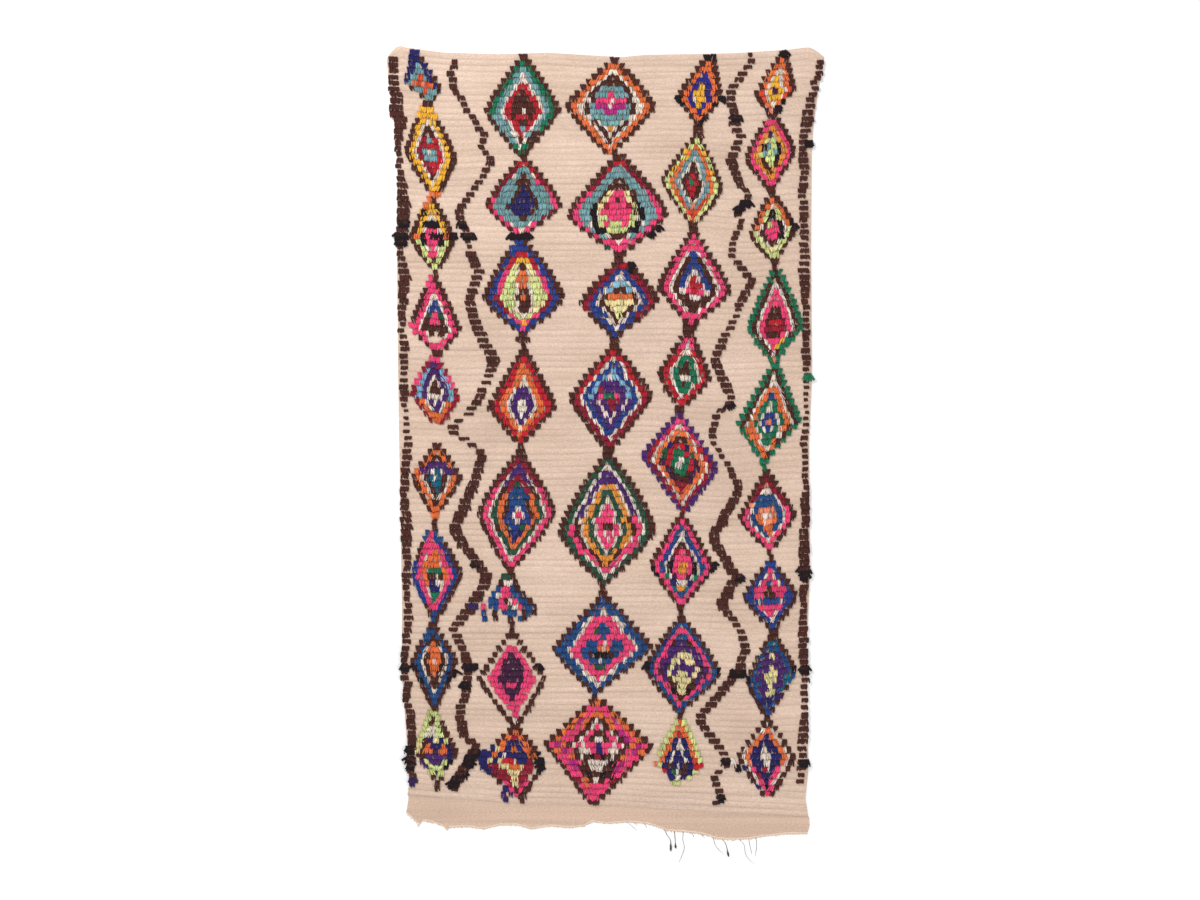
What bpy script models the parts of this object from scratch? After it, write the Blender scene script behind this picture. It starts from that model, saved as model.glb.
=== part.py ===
"""A hand-knotted Moroccan rug, lying flat: a ribbed wool ground with raised lozenges of pile and a frayed end.

Frame: metres, +Z up, the rug's underside at z = 0. +Y runs towards the end that the weaver began,
-Y towards the plain woven end with its frayed edge, and the origin is the centre of the rug's box.
Lengths along and across the rug are in centimetres in the tables, and heights are in millimetres.
"""

import math
from collections import namedtuple

import bmesh
import bpy
from mathutils import Vector
from mathutils.geometry import delaunay_2d_cdt

CM = 0.01
MM = 0.001

# Heights above the floor, in millimetres.
EDGE_HEIGHT = 3.0
GROOVE_HEIGHT = 4.2
RIB_HEIGHT = 5.8
PLAIN_HEIGHT = 2.4
PLAIN_EDGE_HEIGHT = 1.6
PLAIN_RIPPLE = 0.6
PILE_HEIGHT = 10.0
PILE_CROWN = 1.0

# The weave, in centimetres.
KNOT_ROWS = 112
ROW_SWELL = 0.1
FIRST_ROW_Y = 124.2
LAST_ROW_Y = -108.6
SELVEDGE = 0.8
TOP_BEND = 0.8
TOP_BEND_DEPTH = 25.0
HEM_BEND_START_Y = -66.0
PLAIN_STEP = 6.0
RIPPLE_TURN = 1.7

# A lozenge's pile starts at this share of its outline's reach and is at full height at the lower one.
PILE_FOOT = 0.965
PILE_SHOULDER = 0.90
QUARTER_STEPS = 3

# The frayed edge, in centimetres unless it says otherwise.
FRAY_WIDTH = 0.4
FRAY_GAP = 0.06
FRAY_HEIGHT_MM = 1.6
THREAD_WIDTH = 0.22
THREAD_KNOT_WIDTH = 0.62
THREAD_KNOT_HEIGHT_MM = 3.6
THREAD_KNOT_LENGTH = 0.8

# What counts as the same point, in centimetres.
SAME_POINT = 0.002

Point = namedtuple("Point", "x y")
Lozenge = namedtuple("Lozenge", "name top_x top_y left right wide_y bottom_x bottom_y fullness")
Thread = namedtuple("Thread", "name knotted points")

LEFT_EDGE = [
    Point(-67.7, 123.1), Point(-67.2, 115.5), Point(-65.6, 104.0), Point(-64.4, 91.0),
    Point(-64.6, 65.0), Point(-64.2, 24.0), Point(-63.6, -12.0), Point(-63.0, -47.0),
    Point(-63.1, -66.0), Point(-61.8, -86.0), Point(-60.7, -103.0), Point(-61.1, -107.5),
    Point(-61.7, -111.0),
]
RIGHT_EDGE = [
    Point(67.7, 123.3), Point(66.4, 115.4), Point(64.4, 101.0), Point(63.9, 92.0),
    Point(63.7, 65.0), Point(64.0, 24.0), Point(63.1, 3.5), Point(63.4, -37.0),
    Point(62.4, -60.0), Point(62.9, -95.0), Point(62.0, -103.0), Point(63.1, -110.0),
    Point(63.3, -115.0), Point(62.6, -117.5),
]
TOP_EDGE = [
    Point(-67.7, 123.1), Point(-66.3, 124.9), Point(-64.2, 126.9), Point(-61.6, 126.2),
    Point(-50.0, 124.6), Point(-33.0, 124.1), Point(-18.0, 124.6), Point(5.0, 123.2),
    Point(12.5, 123.9), Point(40.0, 124.4), Point(57.0, 125.5), Point(62.8, 126.3),
    Point(65.0, 125.5), Point(67.7, 123.3),
]
RAGGED_EDGE = [
    Point(-61.7, -111.0), Point(-58.7, -113.8), Point(-57.8, -115.1), Point(-56.7, -113.4),
    Point(-53.0, -114.1), Point(-50.2, -115.1), Point(-49.2, -116.4), Point(-48.2, -115.6),
    Point(-43.1, -115.3), Point(-37.8, -116.0), Point(-32.7, -114.8), Point(-27.4, -114.8),
    Point(-22.7, -116.0), Point(-17.0, -115.1), Point(-11.3, -115.6), Point(-6.5, -115.1),
    Point(-4.1, -113.8), Point(0.2, -114.3), Point(6.6, -113.8), Point(12.5, -114.3),
    Point(16.0, -115.2), Point(19.0, -116.5), Point(24.9, -116.9), Point(29.8, -117.5),
    Point(34.8, -119.0), Point(39.7, -119.4), Point(44.7, -119.0), Point(49.6, -118.2),
    Point(57.0, -117.5), Point(62.6, -117.5),
]
HEM_LINE = [
    Point(-64.0, -105.3), Point(-60.0, -105.5), Point(-26.5, -108.0), Point(-2.0, -108.6),
    Point(29.0, -110.4), Point(60.0, -112.0), Point(66.0, -112.2),
]

LOZENGES = [
    Lozenge("a1", -59.2, 125.0, -62.7, -50.3, 114.9, -54.7, 109.7, 0.2),
    Lozenge("a2", -55.6, 108.9, -62.5, -45.7, 93.2, -52.6, 79.9, 0.5),
    Lozenge("a3", -54.0, 79.6, -60.9, -46.4, 67.2, -52.6, 57.0, 0.3),
    Lozenge("a4", -53.3, 55.7, -61.1, -44.3, 39.3, -52.1, 31.5, 0.1),
    Lozenge("a5", -53.0, 30.7, -60.6, -45.0, 18.8, -52.1, 8.9, 0.3),
    Lozenge("a6", -52.1, 3.1, -60.2, -44.3, -6.9, -52.8, -18.7, 0.3),
    Lozenge("a7", -54.0, -22.7, -60.2, -44.0, -36.7, -52.8, -50.9, 0.4),
    Lozenge("a8", -53.5, -52.8, -60.2, -45.7, -63.6, -53.0, -78.2, 0.3),
    Lozenge("a9", -53.5, -79.0, -59.2, -45.4, -92.1, -52.6, -103.0, 0.2),
    Lozenge("b1", -25.5, 123.6, -37.6, -13.7, 106.9, -26.2, 92.8, 0.3),
    Lozenge("b2", -25.5, 92.3, -37.4, -13.2, 77.6, -26.5, 67.6, 0.4),
    Lozenge("b3", -26.2, 67.2, -38.1, -12.4, 49.0, -25.5, 37.6, 0.5),
    Lozenge("b4", -25.3, 32.2, -36.9, -14.6, 15.1, -26.5, 3.5, 0.1),
    Lozenge("b5", -26.5, 0.8, -39.8, -15.1, -17.7, -29.6, -35.7, 0.4),
    Lozenge("b6", -30.5, -36.0, -36.7, -21.0, -48.4, -28.9, -51.2, 0.2),
    Lozenge("b7", -28.8, -55.3, -39.8, -18.4, -69.2, -27.9, -84.0, 0.2),
    Lozenge("b8", -27.9, -84.1, -38.8, -18.4, -95.4, -27.4, -106.1, 0.3),
    Lozenge("c1", 2.9, 122.6, -12.7, 16.0, 108.0, 1.2, 93.1, 0.2),
    Lozenge("c2", 4.4, 93.1, -12.4, 19.9, 74.3, 4.6, 62.2, 0.3),
    Lozenge("c3", 5.1, 60.7, -8.2, 17.0, 47.7, 2.7, 36.8, 0.4),
    Lozenge("c4", 2.7, 33.7, -11.7, 15.0, 17.9, 1.1, 1.5, 0.2),
    Lozenge("c5", 0.7, 0.6, -14.8, 15.8, -23.3, -0.5, -39.9, 0.5),
    Lozenge("c6", -0.5, -43.6, -16.7, 15.0, -59.9, -3.3, -73.7, 0.2),
    Lozenge("c7", -2.5, -75.2, -19.3, 15.3, -89.7, -3.8, -108.3, 0.0),
    Lozenge("d1", 32.6, 124.0, 21.4, 36.8, 111.2, 29.3, 102.5, 0.1),
    Lozenge("d2", 28.1, 99.3, 17.3, 36.5, 84.9, 27.1, 69.4, 0.4),
    Lozenge("d3", 27.4, 69.1, 15.8, 39.5, 52.0, 26.4, 38.9, 0.3),
    Lozenge("d4", 25.9, 38.9, 15.8, 33.1, 23.8, 22.9, 14.2, 0.2),
    Lozenge("d5", 22.9, 14.2, 10.8, 35.3, -1.9, 23.9, -17.7, 0.1),
    Lozenge("d6", 23.9, -18.2, 13.3, 34.5, -33.6, 23.4, -49.8, 0.2),
    Lozenge("d7", 23.9, -50.3, 11.8, 36.3, -66.1, 23.1, -80.7, 0.3),
    Lozenge("d8", 22.9, -81.1, 14.8, 30.6, -96.5, 21.4, -104.2, 0.3),
    Lozenge("e1", 55.3, 124.4, 45.9, 59.0, 111.2, 52.1, 105.9, 0.3),
    Lozenge("e2", 52.3, 105.9, 43.0, 59.3, 93.4, 50.6, 81.1, 0.3),
    Lozenge("e3", 51.4, 81.0, 44.4, 59.5, 70.0, 52.1, 58.7, 0.3),
    Lozenge("e4", 52.8, 58.4, 43.7, 61.5, 40.1, 52.3, 29.1, 0.3),
    Lozenge("e5", 52.8, 29.0, 40.5, 61.0, 10.8, 49.4, -3.5, 0.0),
    Lozenge("e6", 49.6, -4.1, 40.7, 59.5, -18.1, 51.1, -32.5, 0.1),
    Lozenge("e7", 51.8, -32.5, 42.2, 59.7, -43.2, 52.1, -55.3, 0.3),
    Lozenge("e8", 52.1, -55.5, 43.4, 59.5, -68.0, 50.1, -82.1, 0.3),
    Lozenge("e9", 50.1, -82.1, 41.2, 59.5, -93.7, 50.4, -106.8, 0.1),
]

THREADS = [
    Thread("short_left", False, [Point(6.7, -113.9), Point(8.0, -114.9), Point(9.9, -116.5)]),
    Thread("tuft_left", False, [Point(8.9, -114.0), Point(9.9, -115.0)]),
    Thread("tuft_mid", False, [Point(11.6, -114.2), Point(12.8, -115.6)]),
    Thread("knotted_first", True, [
        Point(18.3, -116.2), Point(19.3, -118.1), Point(20.2, -119.6), Point(20.3, -122.9)]),
    Thread("knotted_second", True, [
        Point(21.4, -116.7), Point(21.6, -118.6), Point(21.7, -120.2), Point(21.8, -122.0)]),
    Thread("curled", False, [
        Point(24.2, -116.9), Point(24.0, -119.3), Point(24.5, -121.8), Point(23.8, -124.1),
        Point(22.7, -126.6)]),
    Thread("tuft_right", False, [Point(26.4, -117.1), Point(27.5, -118.7)]),
    Thread("tuft_far", False, [Point(29.3, -117.5), Point(30.9, -118.9)]),
    Thread("swept", False, [
        Point(33.4, -118.6), Point(34.1, -121.0), Point(35.2, -122.5), Point(37.0, -124.1)]),
    Thread("knotted_third", True, [
        Point(36.2, -119.2), Point(37.2, -120.4), Point(37.7, -122.0), Point(38.2, -124.6)]),
    Thread("long_bent", False, [
        Point(41.5, -119.3), Point(43.0, -120.9), Point(43.4, -123.6), Point(44.6, -125.5),
        Point(46.4, -126.85)]),
    Thread("beside_bent", False, [
        Point(44.4, -119.1), Point(44.9, -121.5), Point(45.4, -123.9)]),
    Thread("last", False, [Point(46.7, -118.7), Point(46.9, -121.0), Point(46.5, -124.5)]),
]


def along(points, value, key, wanted):
    """The wanted coordinate where a line of points passes a value of the key coordinate."""
    ordered = sorted(points, key=lambda point: getattr(point, key))
    if value <= getattr(ordered[0], key):
        return getattr(ordered[0], wanted)
    for first, second in zip(ordered, ordered[1:]):
        start, end = getattr(first, key), getattr(second, key)
        if start <= value <= end and end > start:
            share = (value - start) / (end - start)
            here, there = getattr(first, wanted), getattr(second, wanted)
            return here + share * (there - here)
    return getattr(ordered[-1], wanted)


def smooth(value, start, end):
    """0 at start, 1 at end, with a soft rise between them."""
    share = min(1.0, max(0.0, (value - start) / (end - start)))
    return share * share * (3.0 - 2.0 * share)


def row_line(x, straight_y):
    """Where a row of weft that would lie at straight_y runs at x: the rows follow both ends."""
    near_top = smooth(straight_y, FIRST_ROW_Y - TOP_BEND_DEPTH, FIRST_ROW_Y)
    near_hem = smooth(straight_y, HEM_BEND_START_Y, LAST_ROW_Y)
    top_lift = along(TOP_EDGE, x, "x", "y") - FIRST_ROW_Y
    hem_lift = along(HEM_LINE, x, "x", "y") - LAST_ROW_Y
    return straight_y + TOP_BEND * near_top * top_lift + near_hem * hem_lift


def row_y(row):
    """The y of a knot row's groove, with wider rows in the middle of the rug than at its ends."""
    share = row / KNOT_ROWS
    share -= ROW_SWELL * math.sin(2.0 * math.pi * share) / (2.0 * math.pi)
    return FIRST_ROW_Y + (LAST_ROW_Y - FIRST_ROW_Y) * share


def lozenge_side(tip_x, side_x, tip_y, wide_y, fullness):
    """Points from a lozenge's tip to its widest place, bulging outwards with its fullness."""
    points = []
    for step in range(QUARTER_STEPS + 1):
        share = step / QUARTER_STEPS
        bulge = (1.0 - fullness) * share + fullness * math.sin(0.5 * math.pi * share)
        points.append(Point(tip_x + (side_x - tip_x) * bulge, tip_y + (wide_y - tip_y) * share))
    return points


def lozenge_outline(lozenge, reach):
    """A lozenge's outline, anticlockwise from its top tip, shrunk about its middle to a share."""
    shape = lozenge
    left_top = lozenge_side(shape.top_x, shape.left, shape.top_y, shape.wide_y, shape.fullness)
    left_low = lozenge_side(shape.bottom_x, shape.left, shape.bottom_y, shape.wide_y, shape.fullness)
    right_low = lozenge_side(shape.bottom_x, shape.right, shape.bottom_y, shape.wide_y, shape.fullness)
    right_top = lozenge_side(shape.top_x, shape.right, shape.top_y, shape.wide_y, shape.fullness)
    ring = left_top + left_low[-2::-1] + right_low[1:] + right_top[-2:0:-1]
    middle = lozenge_middle(lozenge)
    return [
        Point(middle.x + reach * (p.x - middle.x), middle.y + reach * (p.y - middle.y))
        for p in ring
    ]


def lozenge_middle(lozenge):
    return Point(0.5 * (lozenge.left + lozenge.right), 0.5 * (lozenge.top_y + lozenge.bottom_y))


def crossings(ring, y):
    """The lowest and highest x where a closed ring crosses a level y, or None."""
    found = []
    for first, second in zip(ring, ring[1:] + ring[:1]):
        if (first.y - y) * (second.y - y) < 0.0:
            share = (y - first.y) / (second.y - first.y)
            found.append(first.x + share * (second.x - first.x))
    return (min(found), max(found)) if len(found) >= 2 else None


def cloth_outline():
    """The woven cloth's outline, anticlockwise from its top left corner, without the frayed edge."""
    lift = FRAY_WIDTH + FRAY_GAP
    ragged = [Point(p.x, p.y + lift) for p in RAGGED_EDGE]
    return LEFT_EDGE[:-1] + ragged + RIGHT_EDGE[-2::-1] + TOP_EDGE[-2:0:-1]


class SurfaceMap:
    """Points and lines drawn on the rug's upper face, each point with its height."""

    def __init__(self):
        self.points = []
        self.heights = []
        self.lines = []

    def add_point(self, point, height):
        self.points.append(Vector((point.x, point.y)))
        self.heights.append(height)
        return len(self.points) - 1

    def add_line(self, points, height, closed=False):
        """A line of points, all at one height or each at its own from a list."""
        heights = height if isinstance(height, list) else [height] * len(points)
        indices = [self.add_point(point, level) for point, level in zip(points, heights)]
        ends = indices[1:] + indices[:1] if closed else indices[1:]
        self.lines += list(zip(indices, ends))


def draw_lozenges(surface):
    for lozenge in LOZENGES:
        surface.add_line(lozenge_outline(lozenge, PILE_FOOT), GROOVE_HEIGHT, closed=True)
        surface.add_line(lozenge_outline(lozenge, PILE_SHOULDER), PILE_HEIGHT - PILE_CROWN, closed=True)
        surface.add_point(lozenge_middle(lozenge), PILE_HEIGHT)


def pile_crossing(lozenge, foot, straight_y):
    """The two points where a row runs in under a lozenge's pile and out again, or none."""
    level = row_line(lozenge_middle(lozenge).x, straight_y)
    span = crossings(foot, level)
    if not span:
        return []
    points = []
    for side, x in enumerate(span):
        settled = crossings(foot, row_line(x, straight_y))
        if not settled:
            return []
        points.append(Point(settled[side], row_line(x, straight_y)))
    return points


def draw_ribs(surface):
    """Each knot row's groove and the crest of the rib below it, broken where the pile covers them."""
    feet = [(lozenge, lozenge_outline(lozenge, PILE_FOOT)) for lozenge in LOZENGES]
    for step in range(1, 2 * KNOT_ROWS):
        straight_y = row_y(0.5 * step)
        height = GROOVE_HEIGHT if step % 2 == 0 else RIB_HEIGHT
        left_end = along(LEFT_EDGE, straight_y, "y", "x") + SELVEDGE
        right_end = along(RIGHT_EDGE, straight_y, "y", "x") - SELVEDGE
        stops = [Point(left_end, row_line(left_end, straight_y))]
        for lozenge, foot in feet:
            stops += pile_crossing(lozenge, foot, straight_y)
        stops.append(Point(right_end, row_line(right_end, straight_y)))
        for start, end in zip(stops[::2], stops[1::2]):
            if end.x - start.x > SELVEDGE:
                surface.add_line([start, end], height)


def draw_plain_end(surface):
    """The flat woven end below the last rib, with a few soft ripples along it."""
    hem = HEM_LINE[1:-1]
    surface.add_line(hem, PLAIN_HEIGHT)
    steps = int((hem[-1].x - hem[0].x) / PLAIN_STEP)
    across = [hem[0].x + PLAIN_STEP * step for step in range(steps + 1)]
    for share in (0.35, 0.7):
        points = []
        heights = []
        for step, x in enumerate(across):
            upper = along(HEM_LINE, x, "x", "y")
            lower = along(RAGGED_EDGE, x, "x", "y")
            points.append(Point(x, upper + share * (lower - upper)))
            heights.append(PLAIN_HEIGHT + PLAIN_RIPPLE * math.sin(RIPPLE_TURN * (step + 4.0 * share)))
        surface.add_line(points, heights)


def edge_height(point):
    """The rim's height: the ribbed cloth's selvedge is thicker than the plain end's edge."""
    in_plain_end = point.y < along(HEM_LINE, point.x, "x", "y")
    return PLAIN_EDGE_HEIGHT if in_plain_end else EDGE_HEIGHT


def closed_slab(name, surface):
    """A solid with the drawn upper face, a flat underside at z = 0 and an upright rim between them."""
    found = delaunay_2d_cdt(surface.points, surface.lines, [], 1, SAME_POINT)
    corners, faces, sources = found[0], found[2], found[3]
    mesh = bmesh.new()
    upper = []
    for corner, source in zip(corners, sources):
        height = max((surface.heights[index] for index in source), default=GROOVE_HEIGHT)
        upper.append(mesh.verts.new((corner.x * CM, corner.y * CM, height * MM)))
    for face in faces:
        mesh.faces.new([upper[index] for index in face])
    for vertex in [v for v in mesh.verts if not v.link_faces]:
        mesh.verts.remove(vertex)
    bmesh.ops.recalc_face_normals(mesh, faces=mesh.faces)
    if sum(face.normal.z for face in mesh.faces) < 0.0:
        bmesh.ops.reverse_faces(mesh, faces=mesh.faces)
    rim = [edge for edge in mesh.edges if edge.is_boundary]
    walls = bmesh.ops.extrude_edge_only(mesh, edges=rim)["geom"]
    floor_ring = [item for item in walls if isinstance(item, bmesh.types.BMVert)]
    for vertex in floor_ring:
        vertex.co.z = 0.0
    floor_edges = [
        item for item in walls
        if isinstance(item, bmesh.types.BMEdge) and all(v.co.z == 0.0 for v in item.verts)
    ]
    bmesh.ops.contextual_create(mesh, geom=floor_edges)
    bmesh.ops.recalc_face_normals(mesh, faces=mesh.faces)
    return finished(name, mesh)


def finished(name, mesh):
    """An object of a bmesh, shaded smooth but for its sharp edges."""
    data = bpy.data.meshes.new(name)
    mesh.to_mesh(data)
    mesh.free()
    data.shade_smooth()
    data.set_sharp_from_angle(angle=math.radians(40.0))
    made = bpy.data.objects.new(name, data)
    bpy.context.scene.collection.objects.link(made)
    return made


def make_rug():
    surface = SurfaceMap()
    outline = cloth_outline()
    ring = [surface.add_point(point, edge_height(point)) for point in outline]
    surface.lines += list(zip(ring, ring[1:] + ring[:1]))
    draw_lozenges(surface)
    draw_ribs(surface)
    draw_plain_end(surface)
    return closed_slab("rug", surface)


def thread_root(thread):
    """The two points on the ragged edge between which a loose thread leaves the cloth."""
    half = 0.5 * THREAD_WIDTH
    x = thread.points[0].x
    return [Point(side, along(RAGGED_EDGE, side, "x", "y")) for side in (x - half, x + half)]


def strip_box(mesh, left, right):
    """One length of the frayed strip as a box with open ends; returns its lower, outer face."""
    low, high = 0.0, FRAY_HEIGHT_MM
    section = ((FRAY_WIDTH, low), (0.0, low), (0.0, high), (FRAY_WIDTH, high))
    near, far = [
        [mesh.verts.new((point.x * CM, (point.y + back) * CM, height * MM)) for back, height in section]
        for point in (left, right)
    ]
    sides = []
    for index in range(4):
        following = (index + 1) % 4
        sides.append(mesh.faces.new([near[index], near[following], far[following], far[index]]))
    return sides[1], near, far


def thread_sections(thread):
    """A thread's half width in centimetres and height in millimetres at each point, thicker at a knot."""
    plain = (0.5 * THREAD_WIDTH, FRAY_HEIGHT_MM)
    knot = (0.5 * THREAD_KNOT_WIDTH, THREAD_KNOT_HEIGHT_MM)
    fine = (0.3 * THREAD_WIDTH, 0.6 * FRAY_HEIGHT_MM)
    points = list(thread.points[1:])
    sections = [plain] * len(points)
    if thread.knotted:
        before, end = points[-2], points[-1]
        length = math.dist(before, end)
        for back, size in ((1.3, plain), (1.0, knot), (0.35, knot)):
            share = 1.0 - back * THREAD_KNOT_LENGTH / length
            middle = Point(before.x + share * (end.x - before.x), before.y + share * (end.y - before.y))
            points.insert(-1, middle)
            sections.insert(-1, size)
    sections[-1] = fine
    return list(zip(points, sections))


def extrude_thread(mesh, root_face, thread):
    """Draws a thread out of its root face on the strip, resting level on the floor."""
    face = root_face
    here = thread.points[0]
    for point, (half, height) in thread_sections(thread):
        ahead = Vector((point.x - here.x, point.y - here.y, 0.0)).normalized()
        to_left = Vector((-ahead.y, ahead.x, 0.0))
        face = bmesh.ops.extrude_discrete_faces(mesh, faces=[face])["faces"][0]
        centre = face.calc_center_median()
        middle = Vector((point.x, point.y, 0.0)) * CM
        for vertex in face.verts:
            side = half if (vertex.co - centre).dot(to_left) > 0.0 else -half
            level = height * MM if vertex.co.z > 0.0 else 0.0
            vertex.co = middle + to_left * side * CM + Vector((0.0, 0.0, level))
        here = point


def make_frayed_edge():
    """The raw edge: a narrow strip with the photographed raggedness and its loose threads."""
    mesh = bmesh.new()
    roots = {thread.name: thread_root(thread) for thread in THREADS}
    stations = sorted(RAGGED_EDGE + [point for pair in roots.values() for point in pair])
    lefts = {pair[0]: name for name, pair in roots.items()}
    threads = {thread.name: thread for thread in THREADS}
    starts = []
    ends = []
    for left, right in zip(stations, stations[1:]):
        lower_face, near, far = strip_box(mesh, left, right)
        ends += [near, far]
        if left in lefts:
            starts.append((lower_face, threads[lefts[left]]))
    mesh.faces.new(ends[0])
    mesh.faces.new(ends[-1])
    for face, thread in starts:
        extrude_thread(mesh, face, thread)
    bmesh.ops.remove_doubles(mesh, verts=mesh.verts, dist=SAME_POINT * CM)
    bmesh.ops.recalc_face_normals(mesh, faces=mesh.faces)
    return finished("frayed_edge", mesh)


def cloth_material(name, colour, roughness):
    material = bpy.data.materials.new(name)
    material.use_nodes = True
    shader = material.node_tree.nodes["Principled BSDF"]
    shader.inputs["Base Color"].default_value = (*colour, 1.0)
    shader.inputs["Roughness"].default_value = roughness
    shader.inputs["Metallic"].default_value = 0.0
    return material


def main():
    for old in list(bpy.data.objects):
        bpy.data.objects.remove(old)
    rug = make_rug()
    rug.data.materials.append(cloth_material("ground_wool", (0.72, 0.55, 0.42), 0.9))
    frayed_edge = make_frayed_edge()
    frayed_edge.data.materials.append(cloth_material("frayed_wool", (0.66, 0.49, 0.37), 0.92))


main()
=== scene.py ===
"""The rug's looks: a ribbed wool ground, rows of tied yarn in lozenges and lines, and a frayed end.

Lengths in the tables are in centimetres along and across the rug, with heights in millimetres.
"""

import math
import random
from collections import namedtuple

import bpy
import numpy as np
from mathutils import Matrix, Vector, noise


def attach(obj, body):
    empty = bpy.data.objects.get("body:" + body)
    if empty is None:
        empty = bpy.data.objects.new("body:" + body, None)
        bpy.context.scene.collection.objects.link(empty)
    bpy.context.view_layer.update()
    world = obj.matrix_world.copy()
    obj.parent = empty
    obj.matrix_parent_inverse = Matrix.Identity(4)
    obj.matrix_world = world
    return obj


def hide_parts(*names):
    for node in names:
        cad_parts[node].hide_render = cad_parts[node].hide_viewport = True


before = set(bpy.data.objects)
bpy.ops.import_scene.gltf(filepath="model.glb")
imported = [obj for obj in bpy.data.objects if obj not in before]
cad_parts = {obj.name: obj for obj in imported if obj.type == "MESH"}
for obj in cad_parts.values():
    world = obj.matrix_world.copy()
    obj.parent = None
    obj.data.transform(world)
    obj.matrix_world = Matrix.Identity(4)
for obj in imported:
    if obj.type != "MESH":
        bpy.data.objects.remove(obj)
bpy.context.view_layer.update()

CM = 0.01
MM = 0.001

Point = namedtuple("Point", "x y")
Lozenge = namedtuple(
    "Lozenge", "name top_x top_y left right wide_y bottom_x bottom_y fullness slant rings")
Tuft = namedtuple("Tuft", "x y knots colour", defaults=[1, "n"])
Burst = namedtuple("Burst", "x y across yarn", defaults=["k"])
Turn = namedtuple("Turn", "x y width fill")
Line = namedtuple("Line", "name turns")
Thread = namedtuple("Thread", "name knotted points")
Stain = namedtuple("Stain", "x y across along strength")


def points(*places):
    """Points from pairs of x and y."""
    return [Point(*place) for place in places]


def turns(*places):
    """The turns of a line, each from its x, y, width and fill."""
    return [Turn(*place) for place in places]


# The weave.
KNOT_ROWS = 124
ROW_SWELL = 0.03
FIRST_ROW_Y = 124.2
LAST_ROW_Y = -108.6
TOP_BEND_DEPTH = 25.0
HEM_BEND_START_Y = -66.0
KNOT_WIDTH = 1.45

# Heights above the floor, in millimetres.
EDGE_HEIGHT = 3.0
GROOVE_HEIGHT = 4.0
RIB_HEIGHT = 5.9
PLAIN_HEIGHT = 2.4
PLAIN_EDGE_HEIGHT = 1.5

# The outline of the cloth, and the line where its plain end starts.
LEFT_EDGE = points(
    (-67.7, 123.1), (-67.2, 115.5), (-65.6, 104.0), (-64.4, 91.0), (-64.6, 65.0), (-64.2, 24.0),
    (-63.6, -12.0), (-63.0, -47.0), (-63.1, -66.0), (-61.8, -86.0), (-60.7, -103.0), (-61.1, -107.5),
    (-61.7, -111.0))
RIGHT_EDGE = points(
    (67.7, 123.3), (66.4, 115.4), (64.4, 101.0), (63.9, 92.0), (63.7, 65.0), (64.0, 24.0), (63.1, 3.5),
    (63.4, -37.0), (62.4, -60.0), (62.9, -95.0), (62.0, -103.0), (63.1, -110.0), (63.3, -115.0),
    (62.6, -117.5))
TOP_EDGE = points(
    (-67.7, 123.1), (-66.3, 124.9), (-64.2, 126.9), (-61.6, 126.2), (-50.0, 124.6), (-33.0, 124.1),
    (-18.0, 124.6), (5.0, 123.2), (12.5, 123.9), (40.0, 124.4), (57.0, 125.5), (62.8, 126.3),
    (65.0, 125.5), (67.7, 123.3))
RAGGED_EDGE = points(
    (-61.7, -111.0), (-58.7, -113.8), (-57.8, -115.1), (-56.7, -113.4), (-53.0, -114.1), (-50.2, -115.1),
    (-49.2, -116.4), (-48.2, -115.6), (-43.1, -115.3), (-37.8, -116.0), (-32.7, -114.8), (-27.4, -114.8),
    (-22.7, -116.0), (-17.0, -115.1), (-11.3, -115.6), (-6.5, -115.1), (-4.1, -113.8), (0.2, -114.3),
    (6.6, -113.8), (12.5, -114.3), (16.0, -115.2), (19.0, -116.5), (24.9, -116.9), (29.8, -117.5),
    (34.8, -119.0), (39.7, -119.4), (44.7, -119.0), (49.6, -118.2), (57.0, -117.5), (62.6, -117.5))
HEM_LINE = points(
    (-64.0, -105.3), (-60.0, -105.5), (-26.5, -108.0), (-2.0, -108.6), (29.0, -110.4), (60.0, -112.0),
    (66.0, -112.2))

# The yarns by letter, as screen colours from 0 to 255.
YARNS = {
    "n": (82, 40, 32),
    "k": (30, 18, 24),
    "u": (40, 36, 100),
    "b": (42, 66, 140),
    "d": (34, 78, 134),
    "q": (20, 100, 130),
    "t": (122, 164, 168),
    "c": (132, 180, 208),
    "g": (26, 118, 84),
    "G": (44, 84, 64),
    "r": (196, 34, 50),
    "R": (150, 28, 52),
    "p": (243, 72, 124),
    "m": (186, 42, 128),
    "x": (72, 30, 66),
    "v": (80, 40, 112),
    "o": (233, 116, 62),
    "f": (232, 150, 60),
    "y": (245, 184, 58),
    "z": (233, 217, 160),
    "l": (214, 222, 146),
    "s": (240, 142, 112),
    "e": (224, 78, 44),
    "i": (50, 40, 132),
    "w": (240, 224, 210),
}

# Yarns spun from uneven wool.
MOTTLED = "tcdglszw"

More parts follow.
